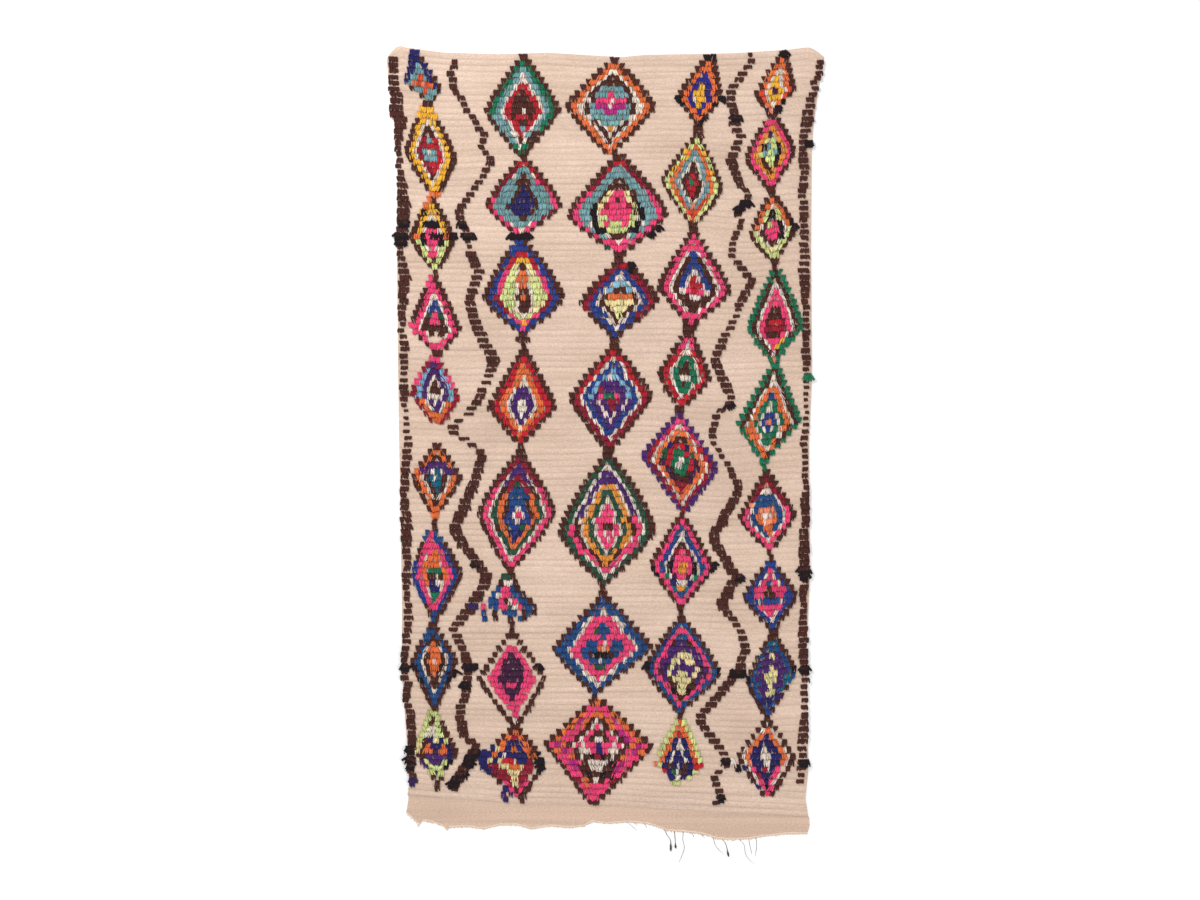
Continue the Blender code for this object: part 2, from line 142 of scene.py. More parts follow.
# Each lozenge's rings of yarn run from its outline inwards, separated by spaces. In a ring, > parts
# the yarns that follow each other from its top to its bottom, two letters together take turns row by
# row, a slash parts its left side from its right side, a hyphen leaves the ground bare, and a number
# repeats what stands before it. The slant is how much higher the right corner lies than the left one.
LOZENGES = [
    Lozenge("a1", -59.2, 125.3, -62.5, -50.3, 114.3, -54.4, 109.7, 0.0, -1.1,
            "u>u/n>u2>u/n2>n2 u2>t/u2>t2 t3>o>t e s"),
    Lozenge("a2", -55.6, 108.9, -62.5, -45.7, 93.2, -52.6, 79.9, 0.25, -2.2,
            "y>n6>o y7>o w n>R/r4>n t>r>t2>r w>t"),
    Lozenge("a3", -54.0, 79.6, -60.9, -46.4, 67.2, -52.6, 57.0, 0.3, 0.0,
            "o/n>y/n>n9 y4>o>l5 w>k>w>k2>w>p>n>l k>p5>l p>n>w"),
    Lozenge("a4", -53.3, 55.7, -61.1, -44.3, 39.3, -52.1, 31.5, 0.1, -1.5,
            "p/n>n5>p/n>n3 p w6>->p b>G>n2>- p>n>- n"),
    Lozenge("a5", -53.0, 30.7, -60.6, -45.0, 18.8, -52.1, 8.9, 0.3, -1.5,
            "p>R2>p2>R7 v>c5>o4 v5>w2>o w4>v2>w n2>w2 w>v"),
    Lozenge("a6", -52.1, 3.1, -60.2, -44.3, -6.9, -52.8, -18.7, 0.3, 0.0,
            "n4>o/n>n6>o o3>v>o6 n>v2>w4>n v>w>n4>- q w"),
    Lozenge("a7", -54.0, -22.7, -60.2, -44.0, -36.7, -52.8, -50.9, 0.4, 0.0,
            "d>n3>b/n6>n2>d/n p/b10>d p>w/p>o/p3>w/p2>g/p>p o>o/w>g/o>n/o>u/w2>g o>g>n>w>u w"),
    Lozenge("a8", -53.5, -52.8, -60.2, -45.7, -63.6, -53.0, -78.2, 0.3, 0.0,
            "d/n>n6>k>n5 d n>w6>n>w o>n6 o w>o"),
    Lozenge("a9", -53.5, -79.0, -59.2, -45.4, -92.1, -52.6, -99.6, 0.2, 0.0,
            "l>l/n4>z/n>n>v/k2>l n/l>w/l2>n/l>n/u2>l2>v w2>u>o2>v2>l z>u>o2>v2>l u>o2>v"),
    Lozenge("b1", -25.5, 123.6, -37.6, -13.7, 106.9, -26.2, 92.8, 0.3, 0.0,
            "n g9>t/g3>t/n2>g2 t11>w/t>w2 w11>n r9>n n6>t>r n4>r>t w"),
    Lozenge("b2", -25.5, 92.3, -37.4, -13.2, 77.6, -26.5, 67.6, 0.4, 0.0,
            "n12>k r>R/r2>R>R/r>R/p>p>r/p>p/R2>p3 t>wt>t/p>t>wt>t>wt>t>wt>w2 t n>t6 n3>u/n>n u u u>w>u"),
    Lozenge("b3", -26.2, 67.2, -38.1, -12.4, 49.0, -25.5, 37.6, 0.5, 0.0,
            "b/n>n11 b r2>p4>R3>p3 y>z>l/z>l4>l/z2>l>y n>w>z>l4>w2 o2>w4>n o>n5 o>b3"),
    Lozenge("b4", -25.3, 32.2, -36.9, -14.6, 15.1, -26.5, 3.5, 0.1, 0.0,
            "n r o w v v>w4>v w>o3>w"),
    Lozenge("b5", -26.5, 0.8, -39.8, -15.1, -17.7, -29.6, -35.7, 0.4, 0.0,
            "n R4>p12 v>w7 v2>n2>G4>n>G4 R3>o9 G>d2>n3>b>G>u2 d2>b6 d>w4>b p>G>k>w"),
    Lozenge("b7", -28.8, -55.3, -39.8, -18.4, -69.2, -27.9, -84.0, 0.2, 0.0,
            "n -7>w p x3>p6 x8>p x3>p>w>x2 x>w>x>w>x"),
    Lozenge("b8", -27.9, -84.1, -38.8, -18.4, -95.4, -27.4, -106.1, 0.3, 0.0,
            "n3>u/n>u/k3>k>n2>u/n3 o2>z/o>o>z/->R/-3>p3 R>u>o>u/o>u/R>R4>n>p u2>w/u>z/u>z/R>R2>z>n"
            " o>u>r/u>z4 u>r/w>o>z2 w2>z"),
    Lozenge("c1", 2.9, 122.6, -12.7, 16.0, 108.0, 1.2, 93.1, 0.2, 0.0,
            "n o w n3>w3>n4 n>t2>n3>t>w3 t>p>t4>f p>m>t3 w>m2 w"),
    Lozenge("c2", 4.4, 93.1, -12.4, 19.9, 74.3, 4.6, 62.2, 0.3, 0.0,
            "n15>G/n>n2 r>r/R>R3>p11 t12>p2>b t8>w>k>w2>p n4>k5>n>w n>z4>w>l2>n p2>R>p>l>p>l n>p3>l p p"),
    Lozenge("c3", 5.1, 60.7, -8.2, 17.0, 47.7, 2.7, 36.8, 0.4, 0.0,
            "n7>R/n>n5 R/r>R/k>R5>b/R2>b3 b8>w2 w8>n c>n5 n>o>z2>l/z>w o>z2>l z>r"),
    Lozenge("c4", 2.7, 33.7, -11.7, 15.0, 17.9, 1.1, 1.5, 0.2, 0.0,
            "n r3>R3 w b c6>v6 w>v>R/v>v2>w5 v2>p2>v4 v>g2>R3 g>w>v>k"),
    Lozenge("c5", 0.7, 0.6, -14.8, 15.8, -23.3, -0.5, -39.9, 0.5, 0.0,
            "n G w8>p/w3>p2>w4 v7>n/p5>p4 v>w5>w/n3>w2>n3 f G8>f w p p>n>w2>p p>u2"),
    Lozenge("c6", -0.5, -43.6, -16.7, 15.0, -59.9, -3.3, -73.7, 0.2, 0.0,
            "n d d>w>d5>w2 w p p8 d>G/d>p>d4>G>k d>p>d3>n>d>k d>p>d>n>k>w>G w>o>n>k>w w>o>w"),
    Lozenge("c7", -2.5, -75.2, -19.3, 15.3, -89.7, -3.8, -108.3, 0.0, 0.0,
            "n op>o3>op>p2>pR>p2 p>pm>p>pm>m>p>m>p>o/p>p o2>p/m>o>po>p>n2>p n7>k>w w8>n p4>w>n>w2"
            " n2>w2>k>w2 w>p>z>p2>R>w p>u2>R2 u>w>u>R"),
    Lozenge("d1", 32.6, 124.4, 21.4, 36.6, 110.8, 28.9, 102.9, 0.1, -0.3,
            "k>n6>k2>n2>n/k o i y3>w/y>y2 y>w2>i2"),
    Lozenge("d2", 28.4, 99.1, 17.2, 36.6, 84.0, 27.2, 71.2, 0.4, -1.9,
            "n l2>y>l2>y>l7>z o>y/o>o5>e4 t8>e w8>s n r g"),
    Lozenge("d3", 27.4, 69.0, 15.8, 39.4, 51.6, 26.4, 40.2, 0.3, -1.7,
            "n p p>w10>p b>n9 b5>w>n2 w5>n r2>p>w r>z>p"),
    Lozenge("d4", 25.8, 38.5, 15.9, 33.1, 24.4, 23.0, 14.3, 0.2, -1.5,
            "n p2>r11 w9>y g n2>w>n2 w"),
    Lozenge("d5", 23.1, 12.8, 10.7, 35.4, -1.9, 24.1, -17.6, 0.1, -4.1,
            "v p2>r>p>r2>R10>v w13>s o11>w/o n>u>G>G/x>x4>R2>w r4>n2>R/n>R g4>n/G w p>u>w"),
    Lozenge("d6", 23.8, -18.4, 13.3, 34.2, -34.5, 23.3, -46.9, 0.1, -0.9,
            "n8>k2>n6 p d3>b3>d2>g>u>q>d w9>f n>R>x>k2>x>w>n p6>n p>f3>p p>f>n>f>p"),
    Lozenge("d7", 23.6, -50.4, 11.7, 36.3, -66.5, 22.7, -79.6, 0.3, -1.5,
            "n8>k>n7 d3>u/d>d11>v p d>n>v5>x>v>n>k>n>x v4>x>v2>n2>z>x v>z7 z2>v3>z2 v2>z>n v"),
    Lozenge("d8", 23.4, -81.3, 14.7, 30.6, -95.6, 21.5, -103.4, 0.3, 0.4,
            "l5>-/l>s/r>-/l2>- o5>o/e>l/r>r/u>u>l r>u5>u/x>w>l w5>n>g/n>m u4>w>m w>o>r>w>m"),
    Lozenge("e1", 55.3, 124.4, 46.0, 59.1, 112.4, 51.3, 106.1, 0.3, 2.7,
            "k>n7>n/k>x o5>e2>o>s w7 y5 x2>y"),
    Lozenge("e2", 51.8, 105.8, 42.9, 59.2, 93.3, 51.4, 82.4, 0.3, 2.2,
            "n p f x>l>k>l/k>n/k>n3 t/l>t>l4>f l>t>l3"),
    Lozenge("e3", 51.5, 81.1, 44.3, 59.4, 69.3, 52.4, 59.9, 0.3, 2.4,
            "n4>n/k>n6 o5>l6 w>l2>w4>z k2>n/k2>n2 l/p>p3>n p"),
    Lozenge("e4", 52.9, 58.4, 43.7, 61.5, 39.9, 52.2, 29.0, 0.3, 0.6,
            "g n9>n/g2>n>s w8>w/y2>w p p>n2>n/R>R>n>p n>r>R>n r>R>n"),
    Lozenge("e5", 52.6, 28.8, 40.4, 61.0, 10.5, 49.3, -1.9, 0.0, 0.5,
            "g n9>o/n3>o>o/n>g w8>o>o/w>w/o>w>o o7>w2>g>w d>g6>w w5>g b s"),
    Lozenge("e6", 49.9, -5.2, 40.7, 59.5, -18.9, 51.1, -29.8, 0.1, 1.1,
            "n R4>s/R>p8 s>w>d/w>w9 w>d8>d/o>d d>s>o/s>o4 s>w2>w/s>w w2>k>w"),
    Lozenge("e7", 51.2, -32.9, 42.2, 59.7, -43.6, 52.0, -54.1, 0.3, 0.2,
            "b>n10 b p>w2>p>b2>p>w2>s p2>wp>p2>pw>p3 d>p2>d>p2 n2>b2>G n>s>b/G"),
    Lozenge("e8", 51.9, -55.7, 43.3, 59.4, -68.4, 50.1, -80.7, 0.3, 3.4,
            "n6>k>n/d>n/q>n>x>n3 q>d6>d/q3>u>d>b/d>u d>v4>d/v2>v2>u2>d z>v7>x>z>w z8>w z2>o4>z"),
    Lozenge("e9", 50.1, -82.2, 40.3, 59.2, -93.6, 50.3, -106.6, 0.1, 1.3,
            "n7>u/n>n2>u/n>n>u w2>-2>w3>w/->w2>p2 o5>s/o>p>R/p>p>k u u4>R/w w w"),
]

# A little house between two lozenges, charted row by row from its ridge, with its left end's place.
HOUSE = [
    (-32.3, "GGn"), (-33.1, "nwwn"), (-33.9, "dppdn"), (-35.3, "dwppddn"), (-36.2, "ddpnwpddn"),
    (-36.1, "ddppGwpddn"), (-35.0, "n-ddd-ndn"), (-34.6, "n--n-dn"),
]
HOUSE_TOP_Y = -36.8
HOUSE_KNOT_WIDTH = 1.5

# Short ties between the lozenges, and the far ends of their columns.
STEMS = [
    Tuft(-52.8, 56.3), Tuft(-52.1, 31.9), Tuft(-52.8, -19.7), Tuft(-52.9, -21.8), Tuft(-52.6, -50.8),
    Tuft(-52.7, -78.6), Tuft(-53.4, -99.3), Tuft(-50.8, -99.3), Tuft(-52.1, -101.2), Tuft(-52.2, -103.2),
    Tuft(-25.0, 94.4, 2), Tuft(-25.6, 36.2, 3), Tuft(-25.4, 33.9), Tuft(-26.2, 2.3), Tuft(-30.0, -35.6),
    Tuft(-28.7, -52.6), Tuft(-28.9, -54.6), Tuft(2.7, 35.2, 2), Tuft(0.9, 1.2), Tuft(-0.8, -41.9),
    Tuft(-3.3, -74.2), Tuft(28.6, 101.9, 2), Tuft(28.7, 100.0, 2), Tuft(27.3, 70.6, 2),
    Tuft(26.2, 39.3, 3), Tuft(23.1, 13.5), Tuft(23.8, -18.6), Tuft(23.3, -47.5), Tuft(23.2, -49.3),
    Tuft(23.2, -80.4), Tuft(51.0, 81.9, 2), Tuft(52.2, 59.1), Tuft(49.2, -2.7, 1, "g"), Tuft(49.8, -4.8),
    Tuft(50.6, -30.5), Tuft(51.3, -32.2), Tuft(52.0, -54.8, 2), Tuft(50.0, -81.5),
    Tuft(-41.1, -46.6, 2, "u"), Tuft(-37.8, -46.6, 1, "p"), Tuft(-37.7, -48.6, 1, "d"),
    Tuft(-37.4, -50.2, 1, "d"), Tuft(-31.3, -103.2, 1, "v"), Tuft(-31.5, -104.9, 1, "v"),
    Tuft(-30.8, -106.5, 1, "u"), Tuft(-30.9, -108.2, 1, "v"), Tuft(-23.7, -103.2), Tuft(-25.1, -104.6),
    Tuft(-25.8, -106.6),
]

# Long ends, most of them black, over the brown lines and the lozenges, with how wide they spread.
BLACK_TUFTS = [
    Burst(-62.5, 72.6, 3.6), Burst(-63.3, 68.0, 4.2), Burst(-63.5, 66.2, 3.6), Burst(-53.6, 72.6, 4.4),
    Burst(-52.5, 68.9, 2.5), Burst(-47.7, 68.4, 3.6), Burst(-56.0, 75.5, 1.5), Burst(-44.5, 72.5, 2.6),
    Burst(-42.6, 68.4, 4.5), Burst(-28.6, 68.9, 1.8), Burst(-24.1, 68.9, 1.8), Burst(-2.1, 70.8, 2.5),
    Burst(-3.2, 75.2, 1.6), Burst(9.4, 75.2, 1.6), Burst(16.5, 70.9, 1.6), Burst(14.5, 68.4, 1.6),
    Burst(8.0, 58.6, 2.2), Burst(40.6, 104.4, 3.4), Burst(44.2, 79.0, 2.0), Burst(42.8, 77.8, 2.2),
    Burst(41.5, 76.8, 2.2), Burst(38.6, 16.4, 2.4), Burst(41.5, -37.5, 2.4), Burst(41.0, -66.4, 5.0),
    Burst(41.0, -68.2, 5.0), Burst(37.4, -95.6, 2.5), Burst(39.5, -95.8, 1.2, "w"),
    Burst(41.2, -96.0, 1.2), Burst(36.0, -106.0, 1.6), Burst(62.9, 96.1, 2.6), Burst(61.8, -36.2, 3.3),
    Burst(61.8, -38.0, 3.0), Burst(61.9, -66.3, 2.9), Burst(61.4, -94.8, 3.4),
    Burst(62.8, 24.7, 2.2, "g"), Burst(53.7, 107.4, 2.0), Burst(55.4, 124.2, 1.4), Burst(54.5, 68.7, 1.6),
    Burst(58.5, 71.0, 2.0), Burst(36.5, 110.8, 1.5), Burst(22.7, 111.0, 1.4), Burst(30.6, 104.8, 1.4),
    Burst(33.9, -33.6, 1.0), Burst(12.9, -65.4, 1.0), Burst(-40.4, -33.6, 2.0), Burst(-41.8, -66.4, 4.7),
    Burst(-47.3, -66.9, 3.0), Burst(-43.4, -70.6, 3.0), Burst(-59.2, -66.4, 1.6),
    Burst(-50.7, -66.4, 1.6), Burst(-62.2, -66.1, 2.0), Burst(-60.6, -90.6, 2.5),
    Burst(-60.6, -93.4, 2.5), Burst(-60.1, -96.0, 2.3), Burst(-59.9, -100.5, 1.8, "u"),
    Burst(-20.5, -66.2, 1.4), Burst(-40.3, -92.2, 3.2), Burst(-41.9, -94.1, 3.4),
    Burst(-42.3, -96.0, 3.2), Burst(-44.2, -98.5, 3.4), Burst(-46.1, -100.8, 3.2),
    Burst(-47.3, -102.8, 3.0), Burst(-37.6, -91.6, 1.6, "u"), Burst(-38.4, -93.5, 1.6, "u"),
    Burst(-37.7, -96.0, 1.6, "u"), Burst(-36.1, -97.7, 1.6, "u"), Burst(-22.0, -92.0, 1.8),
    Burst(-20.3, -94.0, 1.8), Burst(-20.0, -96.3, 1.8), Burst(2.7, -95.5, 1.5), Burst(1.9, -98.0, 1.5),
]

# The brown lines, by the places where they turn, with their width there and how much of its row a
# knot fills.
LINES = [
    Line("left_border", turns(
        (-66.2, 123.3, 2.4, 1.0), (-65.5, 114.0, 3.0, 0.85), (-64.7, 110.5, 4.2, 1.0),
        (-64.6, 106.3, 4.2, 1.0), (-63.6, 102.0, 3.5, 1.0), (-64.2, 97.5, 1.9, 0.9),
        (-64.1, 90.0, 1.5, 0.8), (-62.9, 83.9, 2.8, 0.95), (-62.4, 76.0, 3.6, 1.0),
        (-63.2, 68.1, 3.0, 0.9), (-63.6, 64.0, 1.6, 0.8), (-62.7, 59.5, 2.4, 0.75),
        (-62.2, 55.0, 3.6, 1.0), (-62.8, 47.0, 2.4, 0.9), (-63.1, 39.0, 1.6, 0.6),
        (-62.3, 34.0, 2.7, 0.8), (-62.5, 24.2, 2.0, 0.5), (-62.7, 20.0, 2.9, 1.0),
        (-62.0, 13.3, 1.2, 0.4), (-61.3, 3.5, 2.5, 0.7), (-61.9, -5.0, 2.6, 0.95),
        (-62.2, -13.0, 2.2, 0.85), (-61.6, -23.6, 3.3, 1.0), (-61.5, -33.9, 1.9, 0.8),
        (-61.6, -38.0, 2.6, 0.9), (-61.5, -42.0, 1.7, 0.8), (-61.0, -50.0, 2.4, 0.75),
        (-61.4, -57.5, 2.3, 0.75), (-62.6, -66.1, 1.8, 0.8), (-61.1, -71.0, 2.4, 0.9),
        (-61.5, -76.5, 1.8, 0.75), (-60.4, -80.0, 2.8, 0.8), (-60.0, -88.3, 2.4, 0.9),
        (-60.0, -98.7, 2.2, 0.9), (-59.0, -102.8, 2.0, 0.9))),
    Line("right_border", turns(
        (66.6, 122.7, 2.2, 0.8), (65.2, 116.4, 2.0, 0.8), (63.9, 110.1, 2.5, 0.8),
        (62.9, 105.5, 3.3, 1.0), (61.9, 100.0, 3.2, 0.7), (60.8, 96.5, 1.8, 0.8), (61.3, 91.5, 3.0, 1.0),
        (61.7, 87.3, 2.1, 0.85), (61.3, 83.3, 2.9, 1.0), (61.2, 79.5, 2.1, 0.55), (61.2, 75.5, 2.9, 0.8),
        (61.6, 71.0, 2.0, 0.8), (61.6, 65.5, 2.5, 0.8), (61.2, 59.5, 2.8, 0.7), (61.7, 54.5, 2.9, 1.0),
        (62.0, 48.5, 2.5, 0.85), (62.1, 43.5, 1.5, 0.7), (62.3, 38.7, 2.3, 1.0), (62.1, 35.4, 1.6, 0.75),
        (62.1, 31.0, 2.6, 0.8), (62.3, 25.5, 1.6, 0.7), (62.1, 20.0, 1.4, 0.55), (62.3, 12.5, 1.0, 0.5),
        (61.6, 5.2, 2.1, 0.75), (61.7, -3.7, 1.6, 0.65), (62.1, -10.0, 1.7, 0.85),
        (61.8, -13.1, 2.7, 1.0), (61.9, -22.0, 2.1, 0.9), (61.6, -27.4, 3.0, 0.9),
        (61.8, -37.0, 3.2, 1.0), (61.7, -39.4, 1.6, 0.8), (61.5, -41.5, 2.7, 1.0),
        (61.5, -46.0, 1.6, 0.85), (61.3, -54.3, 2.7, 0.8), (61.3, -59.0, 2.8, 0.85),
        (61.7, -66.0, 2.3, 0.8), (61.7, -76.0, 1.9, 0.7), (61.8, -81.5, 2.3, 1.0),
        (61.4, -88.1, 3.0, 0.9), (61.0, -95.0, 2.2, 0.8), (60.4, -102.8, 2.0, 0.65))),
    Line("left_zigzag", turns(
        (-46.2, 123.4, 1.3, 0.8), (-47.9, 118.5, 2.2, 0.85), (-47.3, 114.2, 2.2, 1.0),
        (-42.4, 106.5, 1.8, 0.85), (-37.5, 98.0, 2.2, 0.95), (-39.0, 96.1, 1.8, 0.75),
        (-35.1, 91.1, 2.2, 0.95), (-38.0, 85.9, 2.0, 0.8), (-45.7, 75.3, 2.4, 0.85),
        (-42.6, 68.4, 2.3, 0.9), (-42.2, 64.6, 1.2, 0.5), (-41.4, 62.7, 2.9, 1.0),
        (-39.2, 57.1, 3.0, 0.7), (-42.5, 47.3, 2.8, 1.0), (-40.5, 41.2, 3.4, 0.75),
        (-37.1, 33.6, 3.6, 0.75), (-34.3, 29.0, 3.6, 1.0), (-36.6, 23.1, 2.6, 0.4),
        (-38.3, 18.5, 2.8, 0.95), (-43.1, 11.9, 2.6, 0.45), (-48.8, 7.6, 2.9, 0.8),
        (-44.0, 5.0, 3.0, 0.6), (-37.7, 0.2, 2.4, 1.0), (-41.4, -10.3, 3.2, 1.0),
        (-47.1, -23.3, 3.4, 1.0), (-43.2, -29.1, 3.6, 1.0), (-37.0, -36.5, 3.3, 1.0),
        (-37.3, -40.1, 3.5, 0.9), (-42.5, -48.6, 4.2, 0.9), (-47.1, -53.8, 3.0, 0.65),
        (-43.5, -61.2, 2.9, 0.9), (-42.5, -70.0, 2.6, 0.8), (-45.1, -81.3, 2.8, 0.8),
        (-43.6, -86.8, 3.0, 1.0), (-40.0, -90.4, 2.6, 1.0), (-41.9, -94.1, 3.2, 1.0),
        (-46.1, -100.8, 3.0, 1.0), (-47.6, -104.9, 2.0, 0.6))),
    Line("right_zigzag", turns(
        (44.7, 123.8, 1.3, 0.8), (44.9, 121.9, 2.2, 0.8), (40.3, 114.2, 2.7, 0.85),
        (38.9, 111.2, 2.8, 0.75), (39.4, 107.0, 2.2, 1.0), (40.6, 104.4, 3.2, 0.8),
        (40.1, 101.8, 2.8, 0.85), (41.9, 97.9, 2.5, 0.75), (38.9, 91.5, 2.9, 1.0), (41.9, 82.5, 2.4, 0.9),
        (44.7, 80.6, 2.2, 0.9), (41.0, 74.4, 2.0, 0.85), (42.3, 72.9, 1.8, 0.9), (38.7, 62.5, 2.0, 0.6),
        (41.1, 59.1, 2.3, 0.8), (45.7, 53.5, 2.5, 1.0), (41.7, 47.1, 2.9, 0.85), (41.7, 44.6, 1.6, 0.5),
        (36.9, 35.9, 3.0, 0.75), (33.8, 29.2, 2.8, 0.9), (38.1, 19.6, 3.2, 0.75), (39.0, 16.7, 1.8, 0.7),
        (34.2, 12.1, 2.3, 0.8), (33.0, 5.1, 2.1, 0.75), (33.6, 3.1, 1.6, 0.7), (39.0, -5.2, 1.9, 0.8),
        (41.6, -10.8, 2.8, 1.0), (34.1, -23.8, 3.3, 1.0), (33.0, -25.5, 2.9, 1.0),
        (40.6, -38.0, 3.3, 1.0), (35.7, -46.3, 3.2, 1.0), (41.7, -54.1, 2.0, 0.7),
        (43.7, -60.5, 3.1, 1.0), (41.0, -67.3, 3.0, 1.0), (33.9, -76.1, 3.2, 0.8),
        (28.8, -81.9, 2.9, 0.9), (34.2, -89.4, 3.3, 0.75), (38.7, -95.8, 1.6, 0.6),
        (33.5, -99.7, 2.4, 0.8), (36.0, -106.0, 2.3, 0.8), (33.8, -109.1, 2.4, 0.6))),
]

# The loose threads of the plain end, and whether they end in a knot.
THREADS = [
    Thread("short_left", False, points((6.7, -113.9), (8.0, -114.9), (9.9, -116.5))),
    Thread("tuft_left", False, points((8.9, -114.0), (9.4, -114.4), (9.9, -115.0))),
    Thread("tuft_mid", False, points((11.6, -114.2), (12.4, -114.8), (12.8, -115.6))),
    Thread("knotted_first", True, points((18.3, -116.2), (19.3, -118.1), (20.2, -119.6), (20.3, -122.9))),
    Thread("knotted_second", True, points((21.4, -116.7), (21.6, -118.6), (21.7, -120.2), (21.8, -122.0))),
    Thread("curled", False, points(
        (24.2, -116.9), (24.0, -119.3), (24.5, -121.8), (23.8, -124.1), (22.7, -126.6))),
    Thread("tuft_right", False, points((26.4, -117.1), (27.1, -117.8), (27.5, -118.7))),
    Thread("tuft_far", False, points((29.3, -117.5), (30.0, -118.1), (30.9, -118.9))),
    Thread("swept", False, points((33.4, -118.6), (34.1, -121.0), (35.2, -122.5), (37.0, -124.1))),
    Thread("knotted_third", True, points((36.2, -119.2), (37.2, -120.4), (37.7, -122.0), (38.2, -124.6))),
    Thread("long_bent", False, points(
        (41.5, -119.3), (43.0, -120.9), (43.4, -123.6), (44.6, -125.5), (46.4, -126.85))),
    Thread("beside_bent", False, points((44.4, -119.1), (44.9, -121.5), (45.4, -123.9))),
    Thread("last", False, points((46.7, -118.7), (46.9, -121.0), (46.5, -124.5))),
]

# Worn and dirty places on the ground.
STAINS = [
    Stain(-36.0, 8.0, 9.0, 4.0, 0.5), Stain(-12.0, 11.0, 10.0, 5.0, 0.35),
    Stain(11.0, 38.0, 6.0, 5.0, 0.3), Stain(38.0, -2.0, 8.0, 8.0, 0.6),
    Stain(30.0, 12.0, 9.0, 5.0, 0.4), Stain(38.0, -115.0, 26.0, 5.0, 0.4),
    Stain(-50.0, -110.0, 8.0, 4.0, 0.4), Stain(44.0, -85.0, 8.0, 10.0, 0.2),
    Stain(24.0, -108.5, 14.0, 2.5, 0.4), Stain(-34.0, 36.0, 6.0, 5.0, 0.3),
    Stain(58.0, 32.0, 5.0, 2.5, 0.4), Stain(4.0, -50.0, 12.0, 5.0, 0.15),
]


# Where the weave runs.

SLANT_SHARE = 0.42
SLANTED = [lozenge for lozenge in LOZENGES if lozenge.slant]


def along(places, value, key, wanted):
    """The wanted coordinate where a line of places passes a value of the key coordinate."""
    ordered = sorted(places, key=lambda point: getattr(point, key))
    keys = [getattr(point, key) for point in ordered]
    return float(np.interp(value, keys, [getattr(point, wanted) for point in ordered]))


def smooth(value, start, end):
    """0 at start, 1 at end, with a soft rise between them."""
    share = min(1.0, max(0.0, (value - start) / (end - start)))
    return share * share * (3.0 - 2.0 * share)


def slant_lift(x, straight_y):
    """How far the lozenges' slants lift a row of weft at a place."""
    lift = 0.0
    for lozenge in SLANTED:
        across = 2.0 * (x - lozenge.left) / (lozenge.right - lozenge.left) - 1.0
        up = 2.0 * (straight_y - lozenge.wide_y) / (lozenge.top_y - lozenge.bottom_y)
        lift += SLANT_SHARE * lozenge.slant * across * math.exp(0.5 - 0.5 * across ** 2 - up ** 2)
    return lift


def row_line(x, straight_y):
    """Where a row of weft that would lie at straight_y runs at x: the rows follow both ends."""
    near_top = smooth(straight_y, FIRST_ROW_Y - TOP_BEND_DEPTH, FIRST_ROW_Y)
    near_hem = smooth(straight_y, HEM_BEND_START_Y, LAST_ROW_Y)
    top_lift = along(TOP_EDGE, x, "x", "y") - FIRST_ROW_Y
    hem_lift = along(HEM_LINE, x, "x", "y") - LAST_ROW_Y
    middle = (1.0 - near_top) * (1.0 - near_hem)
    return straight_y + near_top * top_lift + near_hem * hem_lift + middle * slant_lift(x, straight_y)


def row_y(row):
    """The y of a knot row's groove, with wider rows in the middle of the rug than at its ends."""
    share = row / KNOT_ROWS
    share -= ROW_SWELL * math.sin(2.0 * math.pi * share) / (2.0 * math.pi)
    return FIRST_ROW_Y + (LAST_ROW_Y - FIRST_ROW_Y) * share


def row_at(x, y):
    """The knot row whose middle lies nearest to a place."""
    return min(range(KNOT_ROWS), key=lambda row: abs(row_line(x, row_y(row + 0.5)) - y))


# Yarn.

def linear(colour):
    """A screen colour from 0 to 255 as a linear one from 0 to 1."""
    shares = [channel / 255.0 for channel in colour]
    return np.array([s / 12.92 if s <= 0.04045 else ((s + 0.055) / 1.055) ** 2.4 for s in shares])


